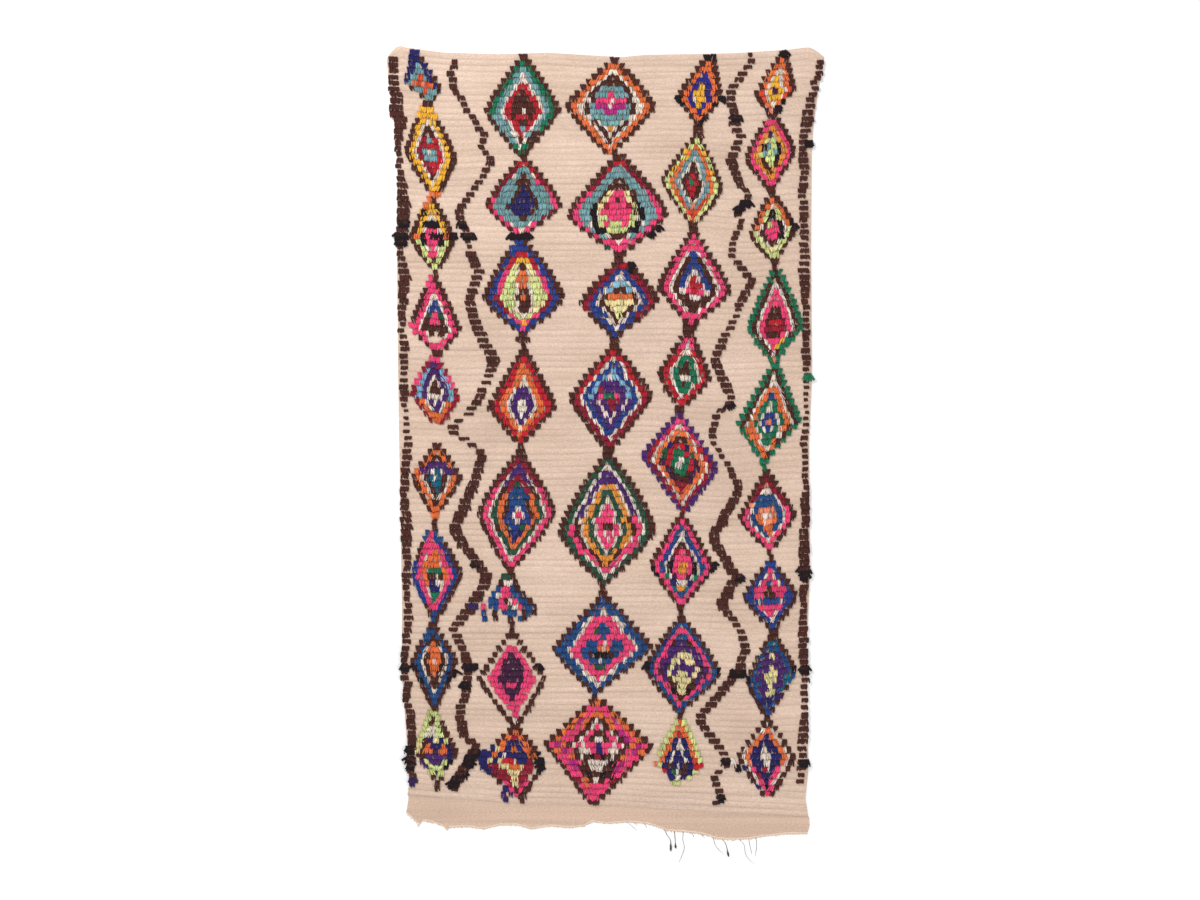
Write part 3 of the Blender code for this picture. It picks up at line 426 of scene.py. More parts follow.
class YarnMesh:
    """Gathers yarn ends, each a closed tube with the same number of rings, into one mesh."""

    SIDES = 4

    def __init__(self, rings):
        self.rings = rings
        self.points = []
        self.colours = []

    def add(self, path, across, widths, depths, colours):
        """One end of yarn along a path, with half widths across it and half depths, all in metres."""
        path = np.array(path)
        ahead = np.gradient(path, axis=0)
        ahead /= np.linalg.norm(ahead, axis=1)[:, None]
        side = np.array(across)
        up = np.cross(ahead, side)
        up /= np.linalg.norm(up, axis=1)[:, None]
        turn = 2.0 * np.pi * np.arange(self.SIDES) / self.SIDES + 0.5 * np.pi
        wide = np.array(widths)[:, None, None] * np.cos(turn)[None, :, None] * side[None, None, :]
        deep = np.array(depths)[:, None, None] * np.sin(turn)[None, :, None] * up[:, None, :]
        self.points.append(path[:, None, :] + wide + deep)
        self.colours.append(np.repeat(np.array(colours)[:, None, :], self.SIDES, axis=1))

    def faces_of_one(self):
        """The corner numbers of one end's faces: its sides, then its root and its tip."""
        faces = []
        for ring in range(self.rings - 1):
            for side in range(self.SIDES):
                following = (side + 1) % self.SIDES
                here, there = ring * self.SIDES, (ring + 1) * self.SIDES
                faces.append([here + side, here + following, there + following, there + side])
        faces.append(list(range(self.SIDES))[::-1])
        last = (self.rings - 1) * self.SIDES
        faces.append(list(range(last, last + self.SIDES)))
        return faces

    def places_of_one(self):
        """For each corner of one end's faces, its place from 0 to 1 in the end's own cell of a map."""
        places = []
        steps = self.rings - 1
        for ring in range(steps):
            for side in range(self.SIDES):
                low, high = 0.8 * ring / steps, 0.8 * (ring + 1) / steps
                left, right = side / self.SIDES, (side + 1) / self.SIDES
                places += [(left, low), (right, low), (right, high), (left, high)]
        for middle, direction in ((0.25, -1.0), (0.75, 1.0)):
            for side in range(self.SIDES):
                turn = direction * 2.0 * math.pi * side / self.SIDES
                places.append((middle + 0.08 * math.cos(turn), 0.9 + 0.07 * math.sin(turn)))
        return np.array(places)

    def build(self, name):
        """The gathered ends as one object, with their colours and a map for baking."""
        count = len(self.points)
        points = np.array(self.points).reshape(-1, 3)
        colours = np.array(self.colours).reshape(-1, 3)
        pattern = self.faces_of_one()
        sizes = np.array([len(face) for face in pattern])
        corners = np.concatenate([np.array(face) for face in pattern])
        per_end = self.rings * self.SIDES
        loops = (np.arange(count)[:, None] * per_end + corners[None, :]).ravel()
        totals = np.tile(sizes, count)
        mesh = bpy.data.meshes.new(name)
        mesh.vertices.add(len(points))
        mesh.vertices.foreach_set("co", points.ravel())
        mesh.loops.add(len(loops))
        mesh.loops.foreach_set("vertex_index", loops)
        mesh.polygons.add(len(totals))
        mesh.polygons.foreach_set("loop_start", np.concatenate([[0], np.cumsum(totals)[:-1]]))
        mesh.update(calc_edges=True)
        self.paint(mesh, colours)
        self.map_cells(mesh, count)
        mesh.shade_smooth()
        made = bpy.data.objects.new(name, mesh)
        bpy.context.scene.collection.objects.link(made)
        return made

    def paint(self, mesh, colours):
        # The colours carry each end's yarn colour and, for knots, the painted shade towards the root and
        # the lighter tip from tie_knot.
        layer = mesh.attributes.new("yarn", "FLOAT_COLOR", "POINT")
        full = np.concatenate([colours, np.ones((len(colours), 1))], axis=1)
        layer.data.foreach_set("color", full.ravel())

    def map_cells(self, mesh, count):
        """Gives each end its own cell of a square map."""
        across = math.ceil(math.sqrt(2.0 * count))
        down = math.ceil(count / across)
        inside = 0.06 + 0.88 * self.places_of_one()
        cell = np.arange(count)
        start = np.stack([cell % across, cell // across], axis=1)
        places = (start[:, None, :] + inside[None, :, :]) / np.array([across, down])
        layer = mesh.uv_layers.new(name="OFBake")
        layer.data.foreach_set("uv", places.ravel())


# Knots.

ENDS_A_KNOT = 4
KNOT_RINGS = 4
END_WIDTH = 0.62
END_DEPTH = 0.2
LEAN_SHIFT = 0.4
ROOT_OVERLAP = 0.06
ROOT_DEPTH = 1.2
RISING_HEIGHT = 7.4
CREST_HEIGHT = 9.2
FREE_TIP_HEIGHT = 7.4
PILE_TIP_HEIGHT = 10.0
MOTTLED_SPREAD = 0.22
EVEN_SPREAD = 0.1


def strand_path(x, y, down, length, stations):
    """A strand's path in metres from a place in centimetres, through shares of its length and heights."""
    return [
        ((x + down[0] * share * length) * CM, (y + down[1] * share * length) * CM, height * MM)
        for share, height in stations
    ]


def tint(letter, dice, spread):
    """A yarn's colour, a little lighter or darker and warmer or cooler by chance."""
    base = linear(YARNS[letter])
    shade = 1.0 + dice.uniform(-spread, spread)
    drift = np.array([dice.uniform(-0.05, 0.05), dice.uniform(-0.03, 0.03), dice.uniform(-0.06, 0.06)])
    return np.clip(base * shade * (1.0 + drift), 0.0, 1.0)


def tie_knot(yarns, dice, x, row, letter, width, ends, length_share, tip_height, lean):
    """One knot's cut ends side by side, from their groove towards the hem end, with painted shade at the
    roots.
    """
    pitch = row_y(row) - row_y(row + 1)
    knot_colour = tint(letter, dice, 0.12)
    lean += dice.gauss(0.0, 0.12)
    x += dice.uniform(-0.1, 0.1) - LEAN_SHIFT * pitch * math.sin(lean)
    y = row_line(x, row_y(row)) - ROOT_OVERLAP * pitch + dice.uniform(-0.1, 0.1)
    lift = dice.uniform(-0.6, 0.9)
    for end in range(ends):
        offset = (end - 0.5 * (ends - 1)) * width / ends
        swing = lean + dice.gauss(0.0, 0.1)
        length = pitch * length_share * dice.uniform(0.86, 1.12)
        across = (math.cos(swing), math.sin(swing), 0.0)
        down = (math.sin(swing), -math.cos(swing))
        rise = lift + dice.uniform(-0.5, 0.5)
        stations = (
            (0.0, GROOVE_HEIGHT - ROOT_DEPTH), (0.2, RISING_HEIGHT + rise),
            (0.6, CREST_HEIGHT + rise), (1.0, tip_height + rise))
        path = strand_path(x + offset, y, down, length, stations)
        half_width = END_WIDTH * dice.uniform(0.9, 1.12) * width / ends
        half_depth = END_DEPTH * dice.uniform(0.9, 1.1)
        widths = [half_width * share * CM for share in (0.75, 1.0, 1.05, 0.75)]
        depths = [half_depth * share * CM for share in (0.8, 1.0, 0.95, 0.6)]
        spread = MOTTLED_SPREAD if letter in MOTTLED else EVEN_SPREAD
        colour = knot_colour * (1.0 + dice.uniform(-spread, spread))
        # Painted shade: each end's colour darkens towards its root in the groove (to 0.45) and grows
        # slightly lighter at its tip (1.05).
        shades = [np.clip(colour * shade, 0.0, 1.0) for shade in (0.45, 0.85, 1.0, 1.05)]
        yarns.add(path, across, widths, depths, shades)


# Lozenges.

OUTLINE_LEAN = 0.22
RING_LEAN = 0.42
TIP_KNOTS = 1.6
JOINED_ROWS = 2
STEM_REACH = 4.0
UNEVENNESS = 0.16

# Where each column of lozenges lies, for the ties between them.
COLUMN_SPANS = {
    "a": (-70.0, -42.5), "b": (-42.5, -14.0), "c": (-14.0, 18.0), "d": (18.0, 40.0), "e": (40.0, 70.0)}

# How wide knots of these yarns are beside the others.
YARN_WIDTHS = {"w": 0.55, "n": 0.94}


class Rings:
    """Reads a lozenge's rings: which yarn a knot has, by its ring and by how far down the ring it is."""

    def __init__(self, text):
        self.rings = [self.zones(ring) for ring in text.split(" ")]

    def zones(self, ring):
        """A ring's yarns from its top to its bottom, repeated as often as their numbers say."""
        found = []
        for part in ring.split(">"):
            yarns = part.rstrip("0123456789")
            found += [yarns] * int(part[len(yarns):] or 1)
        return found

    def letter(self, ring, share, row, on_right):
        zones = self.rings[min(ring, len(self.rings) - 1)]
        sides = zones[min(int(share * len(zones)), len(zones) - 1)].split("/")
        yarns = sides[-1] if on_right else sides[0]
        return yarns[row % len(yarns)]


def knot_width(lozenge):
    """The width of a lozenge's knots: its widest row has one for each side of each ring."""
    rings = lozenge.rings.count(" ") + 1
    return (lozenge.right - lozenge.left) / (2 * rings - 1)


def lozenge_span(lozenge, y):
    """A lozenge's left and right ends at a height y."""
    tip_x, tip_y = (lozenge.top_x, lozenge.top_y)
    if y < lozenge.wide_y:
        tip_x, tip_y = (lozenge.bottom_x, lozenge.bottom_y)
    share = (y - tip_y) / (lozenge.wide_y - tip_y)
    bulge = (1.0 - lozenge.fullness) * share + lozenge.fullness * math.sin(0.5 * math.pi * share)
    tip = 0.5 * TIP_KNOTS * knot_width(lozenge)
    left = tip_x - tip + (lozenge.left - tip_x + tip) * bulge
    right = tip_x + tip + (lozenge.right - tip_x - tip) * bulge
    return left, right


def ring_lean(lozenge, y, side, ring):
    """How far a knot leans sideways: along its ring, but inwards on the outline."""
    if ring == 0:
        return -OUTLINE_LEAN * side
    reach = lozenge.top_y if y > lozenge.wide_y else lozenge.bottom_y
    slope = (y - lozenge.wide_y) / abs(reach - lozenge.wide_y)
    return RING_LEAN * side * max(-1.0, min(1.0, 2.0 * slope))


def lozenge_knots(lozenge):
    """Each knot of a lozenge as its row, place, width, yarn and lean."""
    middle = 0.5 * (lozenge.left + lozenge.right)
    rows = []
    for row in range(KNOT_ROWS):
        y = row_line(middle, row_y(row + 0.5))
        if lozenge.bottom_y < y < lozenge.top_y:
            left, right = lozenge_span(lozenge, y)
            rows.append((row, left, right, max(1, round((right - left) / knot_width(lozenge)))))
    rings = Rings(lozenge.rings)
    dice = random.Random(lozenge.name)
    spans = {}
    for ring in range(max(count for _, _, _, count in rows)):
        inside = [number for number, entry in enumerate(rows) if entry[3] >= 2 * ring + 1]
        if inside:
            spans[ring] = (inside[0], inside[-1] - inside[0] + 1)
    knots = []
    for number, (row, left, right, count) in enumerate(rows):
        tied = []
        for place in range(count):
            ring = min(place, count - 1 - place)
            first, reach = spans[ring]
            side = (place > 0.5 * (count - 1)) - (place < 0.5 * (count - 1))
            letter = rings.letter(ring, (number - first) / reach, row, side > 0)
            share = YARN_WIDTHS.get(letter, 1.0) * dice.uniform(1.0 - UNEVENNESS, 1.0 + UNEVENNESS)
            tied.append((ring, side, letter, share))
        unit = (right - left) / sum(share for _, _, _, share in tied)
        x = left
        for ring, side, letter, share in tied:
            width = unit * share
            lean = ring_lean(lozenge, row_line(middle, row_y(row + 0.5)), side, ring)
            if letter != "-":
                knots.append((row, x + 0.5 * width, width, letter, lean))
            x += width
    return knots


def covered(knots):
    """The rows and half-knot steps that knots lie on, to tell which tips lie on other pile."""
    return {(row, round(2.0 * x / KNOT_WIDTH)) for row, x, _, _, _ in knots}


def tie_all(yarns, dice, knots):
    """Ties a list of knots; the tips of those with pile below them lie higher and closer."""
    places = covered(knots)
    for row, x, width, letter, lean in knots:
        below = round(2.0 * x / KNOT_WIDTH)
        on_pile = any((row + 1, below + step) in places for step in (-1, 0, 1))
        reach, tip = (1.22, PILE_TIP_HEIGHT) if on_pile else (0.95, FREE_TIP_HEIGHT)
        tie_knot(yarns, dice, x, row, letter, width, ENDS_A_KNOT, reach, tip, lean)


def stem_knots():
    knots = []
    for tuft in STEMS:
        row = row_at(tuft.x, tuft.y)
        for number in range(tuft.knots):
            x = tuft.x + (number - 0.5 * (tuft.knots - 1)) * KNOT_WIDTH
            knots.append((row, x, KNOT_WIDTH, tuft.colour, 0.0))
    return knots


def house_knots():
    knots = []
    first = row_at(-30.0, HOUSE_TOP_Y)
    for number, (left, yarns) in enumerate(HOUSE):
        for place, letter in enumerate(yarns):
            if letter != "-":
                x = left + (place + 0.5) * HOUSE_KNOT_WIDTH
                knots.append((first + number, x, HOUSE_KNOT_WIDTH, letter, 0.0))
    return knots


def joining_knots(above, below, stems):
    """Brown ties in the rows that two lozenges' knots leave empty between them."""
    last_row, _, _, _, _ = above[-1]
    first_row, _, _, _, _ = below[0]
    if first_row - last_row - 1 > JOINED_ROWS:
        return []
    x = 0.5 * (above[-1][1] + below[0][1])
    tied = {row for row, stem_x, _, _, _ in stems if abs(stem_x - x) < STEM_REACH}
    rows = [row for row in range(last_row + 1, first_row) if row not in tied]
    return [(row, x + side * 0.5 * KNOT_WIDTH, KNOT_WIDTH, "n", 0.0) for row in rows for side in (-1, 1)]


def make_columns():
    """One piece for each column of lozenges, with its ties."""
    stems = stem_knots()
    pieces = []
    for column, (left, right) in COLUMN_SPANS.items():
        dice = random.Random(f"column {column}")
        lozenges = [lozenge_knots(lozenge) for lozenge in LOZENGES if lozenge.name[0] == column]
        knots = [knot for lozenge in lozenges for knot in lozenge]
        for above, below in zip(lozenges, lozenges[1:]):
            knots += joining_knots(above, below, stems)
        if column == "b":
            knots += house_knots()
        knots += [knot for knot in stems if left <= knot[1] < right]
        yarns = YarnMesh(KNOT_RINGS)
        tie_all(yarns, dice, knots)
        pieces.append(yarns.build(f"lozenges_{column}"))
    return pieces


LOOK_AHEAD = 2.0
LINE_LEAN = 0.35
LINE_END_PITCH = 0.5


def make_lines():
    """The brown borders and zigzags, one piece."""
    yarns = YarnMesh(KNOT_RINGS)
    dice = random.Random("brown lines")
    for line in LINES:
        for row in range(KNOT_ROWS):
            guess = along(line.turns, row_y(row + 0.5), "y", "x")
            y = row_line(guess, row_y(row + 0.5))
            if not line.turns[-1].y < y < line.turns[0].y:
                continue
            x = along(line.turns, y, "y", "x")
            ahead = along(line.turns, y - LOOK_AHEAD, "y", "x")
            width = along(line.turns, y, "y", "width") * dice.uniform(0.94, 1.16)
            reach = along(line.turns, y, "y", "fill") * dice.uniform(0.96, 1.14)
            slope = LINE_LEAN * math.atan2(ahead - x, LOOK_AHEAD)
            ends = max(2, round(width / LINE_END_PITCH))
            x += dice.gauss(0.0, 0.2)
            tie_knot(yarns, dice, x, row, "n", width, ends, reach, FREE_TIP_HEIGHT, slope)
    return yarns.build("brown_lines")


TUFT_LAYERS = 3
TUFT_END_PITCH = 0.45
TUFT_TIP_HEIGHT = 9.0
TUFT_LAYER_HEIGHT = 0.8
LOOSE_END_WIDTH = 0.7
LOOSE_TIP_HEIGHT = 8.0


def make_black_tufts():
    """Long loose ends, most of them black, thicker and less even than the knots."""
    yarns = YarnMesh(KNOT_RINGS)
    dice = random.Random("black tufts")
    for burst in BLACK_TUFTS:
        row = row_at(burst.x, burst.y)
        ends = max(3, round(burst.across / TUFT_END_PITCH))
        for layer in range(TUFT_LAYERS):
            lean, reach = dice.gauss(0.0, 0.22), dice.uniform(1.1, 1.5)
            across = burst.across * (1.0 - 0.15 * layer)
            tip = TUFT_TIP_HEIGHT + TUFT_LAYER_HEIGHT * layer
            tie_knot(yarns, dice, burst.x, row, burst.yarn, across, ends, reach, tip, lean)
        for side in (-1.0, 1.0):
            x = burst.x + 0.35 * side * burst.across
            lean, reach = side * dice.uniform(0.4, 1.1), dice.uniform(0.9, 1.5)
            tie_knot(
                yarns, dice, x, row, burst.yarn, LOOSE_END_WIDTH, 1, reach, LOOSE_TIP_HEIGHT, lean)
    return yarns.build("black_tufts")


# Ground.

RIB_STEPS = 5
GROUND_COLUMNS = 90
PLAIN_STEPS = 14
CLOTH_WIDTH = 127.0
SELVEDGE_WIDTH = 1.2
RIB_WAVER = 0.35
ROW_WAVER = 0.14
RAGGED_LIFT = 0.46


def stain_at(x, y):
    """How worn the ground is at a place, from 0 to 1."""
    worn = 0.0
    for stain in STAINS:
        distance = ((x - stain.x) / stain.across) ** 2 + ((y - stain.y) / stain.along) ** 2
        worn += stain.strength * math.exp(-distance)
    return min(1.0, worn)


def ground_lines():
    """Each line of points across the ribbed ground as its straight y and its share through its rib."""
    steps = [(row, step / RIB_STEPS) for row in range(KNOT_ROWS) for step in range(RIB_STEPS)]
    return [(row_y(row + share), share) for row, share in steps] + [(row_y(KNOT_ROWS), 0.0)]


def side_fall(share):
    """Thins the cloth towards its selvedges: 0 at the edge, 1 a little way in."""
    reach = min(share, 1.0 - share) * CLOTH_WIDTH
    return smooth(reach, 0.0, SELVEDGE_WIDTH)


def ribbed_rows():
    """Rows of points over the ribbed ground, each point with its place and how far up its rib it is."""
    rows = []
    for straight_y, share in ground_lines():
        left = along(LEFT_EDGE, straight_y, "y", "x")
        right = along(RIGHT_EDGE, straight_y, "y", "x")
        row = []
        for column in range(GROUND_COLUMNS + 1):
            part = column / GROUND_COLUMNS
            x = left + (right - left) * part
            y = row_line(x, straight_y)
            waver = noise.noise(Vector((x * 0.09, straight_y * 0.21, 3.0)))
            # The rib share sets the height here, and also the painted shade of the grooves in the ground
            # material.
            rib = math.sin(math.pi * share) ** 0.6
            height = GROOVE_HEIGHT + (RIB_HEIGHT - GROOVE_HEIGHT) * rib * (1.0 + RIB_WAVER * waver)
            height = EDGE_HEIGHT + (height - EDGE_HEIGHT) * side_fall(part)
            inside = 0.0 if column in (0, GROUND_COLUMNS) or straight_y >= FIRST_ROW_Y else ROW_WAVER
            row.append((x, y + inside * waver, height, rib))
        rows.append(row)
    return rows


def plain_rows(last):
    """Rows of points over the plain end, from the last ribbed row to the ragged edge."""
    rows = []
    left_end = LEFT_EDGE[-1]
    right_end = RIGHT_EDGE[-1]
    for step in range(1, PLAIN_STEPS + 1):
        share = step / PLAIN_STEPS
        row = []
        for column in range(GROUND_COLUMNS + 1):
            part = column / GROUND_COLUMNS
            target_x = left_end.x + (right_end.x - left_end.x) * part
            target_y = along(RAGGED_EDGE, target_x, "x", "y") + RAGGED_LIFT
            x = last[column][0] + (target_x - last[column][0]) * share
            y = last[column][1] + (target_y - last[column][1]) * share
            if column == 0:
                x = along(LEFT_EDGE, y, "y", "x")
            if column == GROUND_COLUMNS:
                x = along(RIGHT_EDGE, y, "y", "x")
            ripple = 0.5 * noise.noise(Vector((x * 0.12, y * 0.3, 8.0)))
            height = PLAIN_HEIGHT + ripple - (PLAIN_HEIGHT - PLAIN_EDGE_HEIGHT) * smooth(share, 0.8, 1.0)
            height = PLAIN_EDGE_HEIGHT + (height - PLAIN_EDGE_HEIGHT) * side_fall(part)
            row.append((x, y, height, 1.0))
        rows.append(row)
    return rows


def edge_ring(row_count, columns):
    """The numbers of the points around a grid of points, in order."""
    last = (row_count - 1) * columns
    ring = list(range(columns))
    ring += [row * columns + columns - 1 for row in range(1, row_count)]
    ring += [last + column for column in range(columns - 2, -1, -1)]
    ring += [row * columns for row in range(row_count - 2, 0, -1)]
    return ring


def groove_shade_and_wear_object(name, mesh_name, corners, faces, shades):
    """An object whose corners each have a shade: its rib, which the ground material turns into painted
    shade in the grooves, its stain, and whether it is plain cloth.
    """
    mesh = bpy.data.meshes.new(mesh_name)
    mesh.from_pydata(corners, [], faces)
    layer = mesh.attributes.new("wear", "FLOAT_COLOR", "POINT")
    layer.data.foreach_set("color", np.array([(*shade, 1.0) for shade in shades]).ravel())
    made = bpy.data.objects.new(name, mesh)
    bpy.context.scene.collection.objects.link(made)
    return made


def make_ground():
    """The woven cloth as one closed thin sheet with its ribs on top and a flat underside."""
    ribbed = ribbed_rows()
    rows = ribbed + plain_rows(ribbed[-1])
    columns = GROUND_COLUMNS + 1
    top = [(x * CM, y * CM, height * MM) for row in rows for x, y, height, _ in row]
    # Each corner's rib share becomes painted shade in the grooves; its stain is real dirt.
    shades = [(rib, stain_at(x, y), 1.0 if number >= len(ribbed) else 0.0)
              for number, row in enumerate(rows) for x, y, _, rib in row]
    faces = []
    for row in range(len(rows) - 1):
        for column in range(GROUND_COLUMNS):
            corner = row * columns + column
            faces.append((corner, corner + columns, corner + columns + 1, corner + 1))
    ring = edge_ring(len(rows), columns)
    under = [len(top) + number for number in range(len(ring))]
    corners = top + [(top[corner][0], top[corner][1], 0.0) for corner in ring]
    shades += [shades[corner] for corner in ring]
    for number in range(len(ring)):
        following = (number + 1) % len(ring)
        faces.append((ring[number], ring[following], under[following], under[number]))
    faces.append(tuple(under))
    ground = groove_shade_and_wear_object("ribbed_ground", "ground", corners, faces, shades)
    ground.data.shade_smooth()
    ground.data.set_sharp_from_angle(angle=math.radians(60.0))
    return ground


# Frayed edge.

FIBRE_COUNT = 900
THREAD_RINGS = 14
THREAD_RADIUS = 0.055
KNOTTED_RADIUS = 0.085


def curve_points(places, count):
    """Points at even steps along a smooth line through a thread's own points."""
    knots = np.array([(place.x, place.y) for place in places])
    full = np.vstack([2 * knots[0] - knots[1], knots, 2 * knots[-1] - knots[-2]])
    found = []
    spans = len(knots) - 1
    for step in range(count):
        place = min(step / (count - 1) * spans, spans - 1e-6)
        span, share = int(place), place - int(place)
        before, start, end, after = full[span:span + 4]
        found.append(0.5 * (
            2 * start + (end - before) * share + (2 * before - 5 * start + 4 * end - after) * share ** 2
            + (3 * start - before - 3 * end + after) * share ** 3))
    return found


def make_threads():
    """The loose dark threads, some ending in a knot, lying on the floor."""
    yarns = YarnMesh(THREAD_RINGS)
    dice = random.Random("loose threads")
    across = (1.0, 0.0, 0.0)
    for thread in THREADS:
        line = curve_points(thread.points, THREAD_RINGS)
        radius = KNOTTED_RADIUS if thread.knotted else THREAD_RADIUS
        sizes = [radius] * THREAD_RINGS
        if thread.knotted:
            sizes[-4:] = [radius * 1.4, 0.26, 0.28, 0.1]
        else:
            sizes[-3:] = [radius * 0.8, radius * 0.6, radius * 0.3]
        path = [(x * CM, y * CM, (size + 0.02) * CM) for (x, y), size in zip(line, sizes)]
        colour = linear((60, 38, 44)) * dice.uniform(0.8, 1.2)
        widths = [size * CM for size in sizes]
        yarns.add(path, across, widths, widths, [colour] * THREAD_RINGS)
    return yarns.build("loose_threads")


def make_fray():
    """The raw edge's fine fibres over a narrow strip of loose weft."""
    yarns = YarnMesh(KNOT_RINGS)
    dice = random.Random("frayed edge")
    start, end = RAGGED_EDGE[0].x, RAGGED_EDGE[-1].x
    for number in range(FIBRE_COUNT):
        x = start + (end - start) * (number + dice.random()) / FIBRE_COUNT
        y = along(RAGGED_EDGE, x, "x", "y") + dice.uniform(0.15, 0.45)
        swing = dice.gauss(0.0, 0.5)
        length = dice.uniform(0.35, 0.75)
        across = (math.cos(swing), math.sin(swing), 0.0)
        down = (math.sin(swing), -math.cos(swing))
        path = strand_path(x, y, down, length, ((0.0, 1.3), (0.35, 1.5), (0.7, 1.2), (1.0, 0.7)))
        thick = dice.uniform(0.03, 0.07)
        widths = [thick * share * CM for share in (1.6, 1.2, 0.9, 0.4)]
        colour = linear((226, 200, 180)) * dice.uniform(0.85, 1.1)
        yarns.add(path, across, widths, widths, [colour] * KNOT_RINGS)
    return yarns.build("fine_fray")


def make_fray_strip():
    """The narrow strip of loose weft that the fibres and threads leave from."""
    stations = []
    for first, second in zip(RAGGED_EDGE, RAGGED_EDGE[1:]):
        steps = max(1, round((second.x - first.x) / 0.5))
        for step in range(steps):
            share = step / steps
            wave = 0.06 * noise.noise(Vector((3.1 * (first.x + share), 0.0, 5.0)))
            stations.append((first.x + (second.x - first.x) * share,
                             first.y + (second.y - first.y) * share + wave))
    stations.append((RAGGED_EDGE[-1].x, RAGGED_EDGE[-1].y))
    section = ((0.52, 0.0), (0.0, 0.0), (-0.02, 0.9), (0.12, 1.5), (0.52, 1.6))
    corners = [(x * CM, (y + back) * CM, height * MM) for x, y in stations for back, height in section]
    size = len(section)
    faces = []
    for number in range(len(stations) - 1):
        for corner in range(size):
            following = (corner + 1) % size
            here, there = number * size, (number + 1) * size
            faces.append((here + corner, here + following, there + following, there + corner))
    faces.append(tuple(range(size))[::-1])
    last = (len(stations) - 1) * size
    faces.append(tuple(range(last, last + size)))
    return groove_shade_and_wear_object("fray_strip", "fray_strip", corners, faces, [(1.0, 0.0, 1.0)] * len(corners))


# Materials.

class Nodes:
    """A short way to make and join the nodes of one material."""

    def __init__(self, name):
        self.material = bpy.data.materials.new(name)
        self.material.use_nodes = True
        self.tree = self.material.node_tree
        self.shader = self.tree.nodes["Principled BSDF"]

    def add(self, kind, **settings):
        node = self.tree.nodes.new(kind)
        for key, value in settings.items():
            setattr(node, key, value)
        return node

    def link(self, source, target):
        self.tree.links.new(source, target)

    def stretched_noise(self, scale, size, detail=3.0, roughness=0.6):
        """Noise in the object's own metres, stretched by a scale for each axis."""
        place = self.add("ShaderNodeTexCoord")
        mapping = self.add("ShaderNodeMapping")
        mapping.inputs["Scale"].default_value = scale
        self.link(place.outputs["Object"], mapping.inputs["Vector"])
        texture = self.add("ShaderNodeTexNoise")
        texture.inputs["Scale"].default_value = size
        texture.inputs["Detail"].default_value = detail
        texture.inputs["Roughness"].default_value = roughness
        self.link(mapping.outputs["Vector"], texture.inputs["Vector"])
        return texture.outputs["Fac"]

    def ranged(self, value, low, high, start=0.0, end=1.0):
        """Maps a value between start and end to one between low and high."""
        node = self.add("ShaderNodeMapRange")
        node.inputs["From Min"].default_value = start
        node.inputs["From Max"].default_value = end
        node.inputs["To Min"].default_value = low
        node.inputs["To Max"].default_value = high
        self.link(value, node.inputs["Value"])
        return node.outputs["Result"]

    def blend(self, mode, amount, first, second):
        """Mixes two colours, each a socket or a plain colour."""
        node = self.add("ShaderNodeMix", data_type="RGBA", blend_type=mode)
        if isinstance(amount, float):
            node.inputs["Factor"].default_value = amount
        else:
            self.link(amount, node.inputs["Factor"])
        for socket, value in ((node.inputs[6], first), (node.inputs[7], second)):
            if isinstance(value, tuple):
                socket.default_value = (*value, 1.0)
            else:
                self.link(value, socket)
        return node.outputs[2]

    def scaled(self, colour, factor):
        """A colour made lighter or darker by a value."""
        node = self.add("ShaderNodeVectorMath", operation="SCALE")
        self.link(colour, node.inputs[0])
        self.link(factor, node.inputs["Scale"])
        return node.outputs["Vector"]

    def attribute(self, name):
        return self.add("ShaderNodeAttribute", attribute_name=name)

    def bump(self, height, strength, distance):
        node = self.add("ShaderNodeBump")
        node.inputs["Strength"].default_value = strength
        node.inputs["Distance"].default_value = distance
        self.link(height, node.inputs["Height"])
        self.link(node.outputs["Normal"], self.shader.inputs["Normal"])


def pile_material():
    """Wool yarn in the colour of each end, with the painted shade at its root that this colour holds, and
    fine fibres along it.
    """
    nodes = Nodes("pile_yarn")
    # The yarn attribute holds painted shade: each knot end darkens towards its root and is slightly
    # lighter at its tip.
    yarn = nodes.attribute("yarn").outputs["Color"]
    fibres = nodes.stretched_noise((1.0, 0.22, 1.0), 900.0)
    patches = nodes.stretched_noise((1.0, 1.0, 1.0), 160.0, detail=2.0)
    colour = nodes.scaled(yarn, nodes.ranged(fibres, 0.62, 1.34, 0.3, 0.7))
    colour = nodes.scaled(colour, nodes.ranged(patches, 0.76, 1.0, 0.3, 0.7))
    nodes.link(colour, nodes.shader.inputs["Base Color"])
    nodes.shader.inputs["Roughness"].default_value = 0.85
    nodes.shader.inputs["Specular IOR Level"].default_value = 0.2
    nodes.shader.inputs["Sheen Weight"].default_value = 0.05
    nodes.shader.inputs["Sheen Roughness"].default_value = 0.5
    nodes.bump(fibres, 0.6, 0.0008)
    return nodes.material


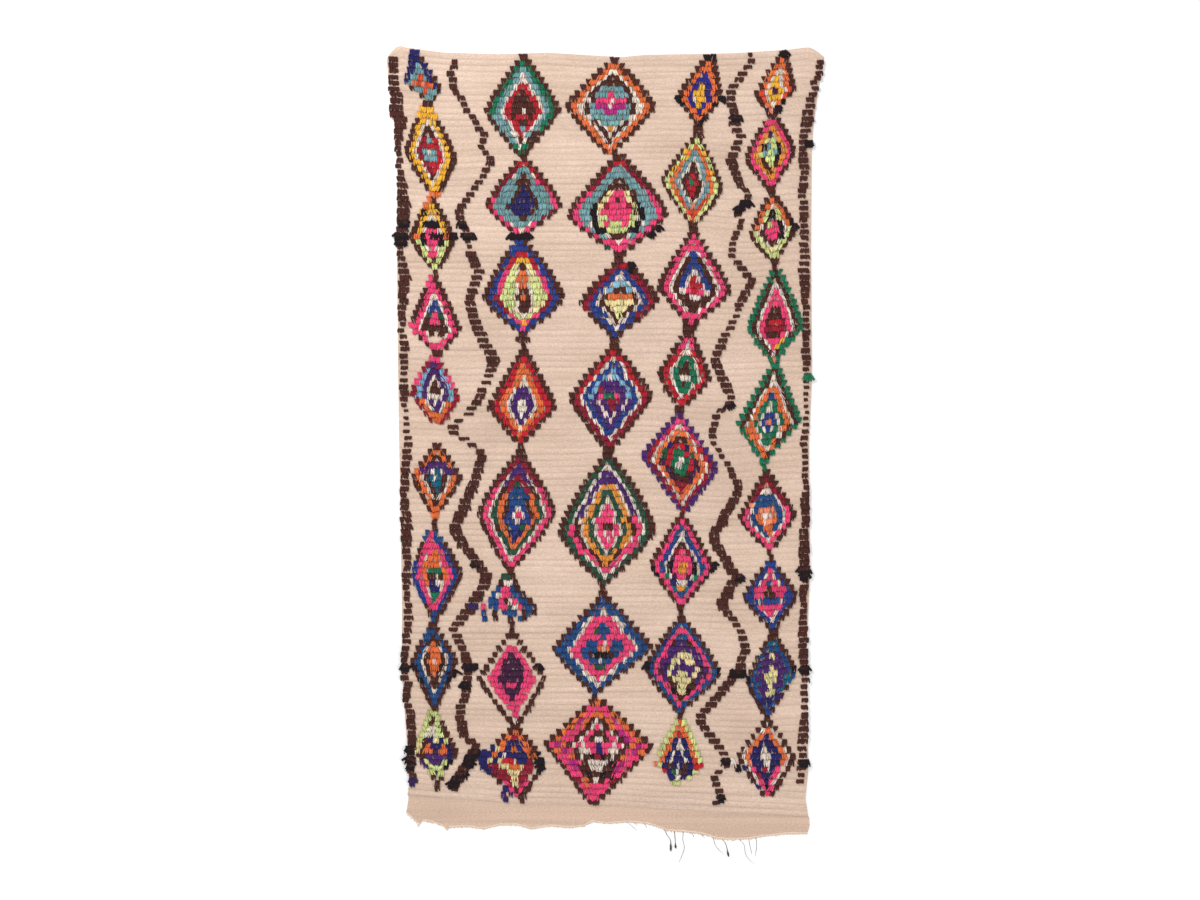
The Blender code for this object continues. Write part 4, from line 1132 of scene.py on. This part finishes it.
def ground_material():
    """Natural wool cloth: ribs with painted shade in the grooves between them, fine weave, flecks and worn
    places.
    """
    nodes = Nodes("ground_wool")
    # This attribute holds the rib share, used for the painted groove shade, then real stains, then whether
    # the cloth is plain.
    wear = nodes.add("ShaderNodeSeparateColor")
    nodes.link(nodes.attribute("wear").outputs["Color"], wear.inputs["Color"])
    rib, stain, plain = wear.outputs["Red"], wear.outputs["Green"], wear.outputs["Blue"]
    drift = nodes.stretched_noise((0.5, 1.0, 1.0), 6.0, detail=3.0)
    bands = nodes.stretched_noise((0.02, 1.0, 1.0), 60.0, detail=3.0)
    grooves = nodes.stretched_noise((0.12, 1.0, 1.0), 28.0, detail=3.0)
    weave = nodes.stretched_noise((0.35, 1.0, 1.0), 420.0, detail=3.0)
    flecks = nodes.stretched_noise((0.8, 1.0, 1.0), 190.0, detail=4.0, roughness=0.7)
    pale = tuple(linear((217, 191, 173)))
    warm = tuple(linear((204, 177, 157)))
    dirt = tuple(linear((150, 126, 114)))
    colour = nodes.blend("MIX", nodes.ranged(drift, 0.0, 1.0, 0.3, 0.7), pale, warm)
    colour = nodes.blend("MIX", nodes.ranged(plain, 0.0, 0.75), colour, tuple(linear((208, 178, 157))))
    colour = nodes.scaled(colour, nodes.ranged(bands, 0.9, 1.07, 0.3, 0.7))
    colour = nodes.scaled(colour, nodes.ranged(weave, 0.79, 1.15, 0.3, 0.7))
    # Painted shade: the grooves between the ribs are darkened to 0.82, except where the grooves noise
    # lifts them.
    painted_groove_shade = nodes.add("ShaderNodeMath", operation="MAXIMUM")
    nodes.link(rib, painted_groove_shade.inputs[0])
    nodes.link(nodes.ranged(grooves, 0.0, 0.9, 0.35, 0.65), painted_groove_shade.inputs[1])
    colour = nodes.scaled(colour, nodes.ranged(painted_groove_shade.outputs[0], 0.82, 1.0, 0.0, 0.75))
    spots = nodes.ranged(flecks, 0.0, 1.0, 0.6, 0.72)
    amount = nodes.add("ShaderNodeMath", operation="MULTIPLY_ADD")
    nodes.link(stain, amount.inputs[0])
    amount.inputs[1].default_value = 1.4
    amount.inputs[2].default_value = 0.14
    spotted = nodes.add("ShaderNodeMath", operation="MULTIPLY", use_clamp=True)
    nodes.link(spots, spotted.inputs[0])
    nodes.link(amount.outputs[0], spotted.inputs[1])
    colour = nodes.blend("MIX", spotted.outputs[0], colour, dirt)
    colour = nodes.blend("MIX", nodes.ranged(stain, 0.0, 0.3), colour, dirt)
    nodes.link(colour, nodes.shader.inputs["Base Color"])
    nodes.shader.inputs["Roughness"].default_value = 0.9
    nodes.shader.inputs["Specular IOR Level"].default_value = 0.15
    nodes.shader.inputs["Sheen Weight"].default_value = 0.1
    nodes.bump(weave, 0.5, 0.0008)
    return nodes.material


def fibre_material():
    """Loose wool fibres and threads, each in its own colour."""
    nodes = Nodes("frayed_wool")
    yarn = nodes.attribute("yarn").outputs["Color"]
    fibres = nodes.stretched_noise((1.0, 0.3, 1.0), 700.0)
    colour = nodes.scaled(yarn, nodes.ranged(fibres, 0.75, 1.2, 0.3, 0.7))
    nodes.link(colour, nodes.shader.inputs["Base Color"])
    nodes.shader.inputs["Roughness"].default_value = 0.9
    nodes.shader.inputs["Specular IOR Level"].default_value = 0.15
    return nodes.material


def floor_material():
    nodes = Nodes("pale_floor")
    grain = nodes.stretched_noise((1.0, 1.0, 1.0), 3.0)
    nodes.link(
        nodes.blend("MIX", nodes.ranged(grain, 0.0, 1.0), (0.93, 0.93, 0.93), (0.95, 0.95, 0.95)),
        nodes.shader.inputs["Base Color"])
    nodes.shader.inputs["Roughness"].default_value = 0.9
    return nodes.material


# Floor, light and camera.

PHOTO_CENTRE = Point(-1.66, 1.47)
PHOTO_WIDTH_M = 3.72
LENS_MM = 85.0
SENSOR_MM = 36.0


def make_stage():
    bpy.ops.mesh.primitive_plane_add(size=14.0, location=(0.0, 0.0, 0.0))
    floor = bpy.context.object
    floor.name = "floor"
    floor.data.materials.append(floor_material())


def add_light(name, place, size, power):
    lamp = bpy.data.lights.new(name, "AREA")
    lamp.shape = "SQUARE"
    lamp.size = size
    lamp.energy = power
    light = bpy.data.objects.new(name, lamp)
    light.location = place
    light.rotation_euler = (Vector((0.0, 0.0, 0.0)) - Vector(place)).to_track_quat("-Z", "Y").to_euler()
    bpy.context.scene.collection.objects.link(light)


def make_light():
    world = bpy.data.worlds.new("soft_white")
    world.use_nodes = True
    background = world.node_tree.nodes["Background"]
    background.inputs["Color"].default_value = (1.0, 1.0, 1.0, 1.0)
    background.inputs["Strength"].default_value = 0.75
    bpy.context.scene.world = world
    add_light("key", (-2.6, 3.2, 3.4), 2.0, 160.0)
    add_light("fill", (3.2, -2.4, 3.6), 3.0, 60.0)
    bpy.context.scene.view_settings.view_transform = "Standard"


def make_camera():
    data = bpy.data.cameras.new("camera")
    data.lens = LENS_MM
    data.sensor_width = SENSOR_MM
    data.clip_end = 100.0
    camera = bpy.data.objects.new("camera", data)
    camera.location = (PHOTO_CENTRE.x * CM, PHOTO_CENTRE.y * CM, PHOTO_WIDTH_M * LENS_MM / SENSOR_MM)
    bpy.context.scene.collection.objects.link(camera)
    bpy.context.scene.camera = camera


def dress(piece, material):
    piece.data.materials.append(material)
    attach(piece, "root")


def main():
    make_camera()
    make_light()
    make_stage()
    ground = make_ground()
    dress(ground, ground_material())
    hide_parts("rug")
    pile = pile_material()
    for piece in make_columns() + [make_lines(), make_black_tufts()]:
        dress(piece, pile)
    strip = make_fray_strip()
    dress(strip, bpy.data.materials["ground_wool"])
    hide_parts("frayed_edge")
    loose = fibre_material()
    fibres, threads = make_fray(), make_threads()
    for piece in (fibres, threads):
        dress(piece, loose)


main()
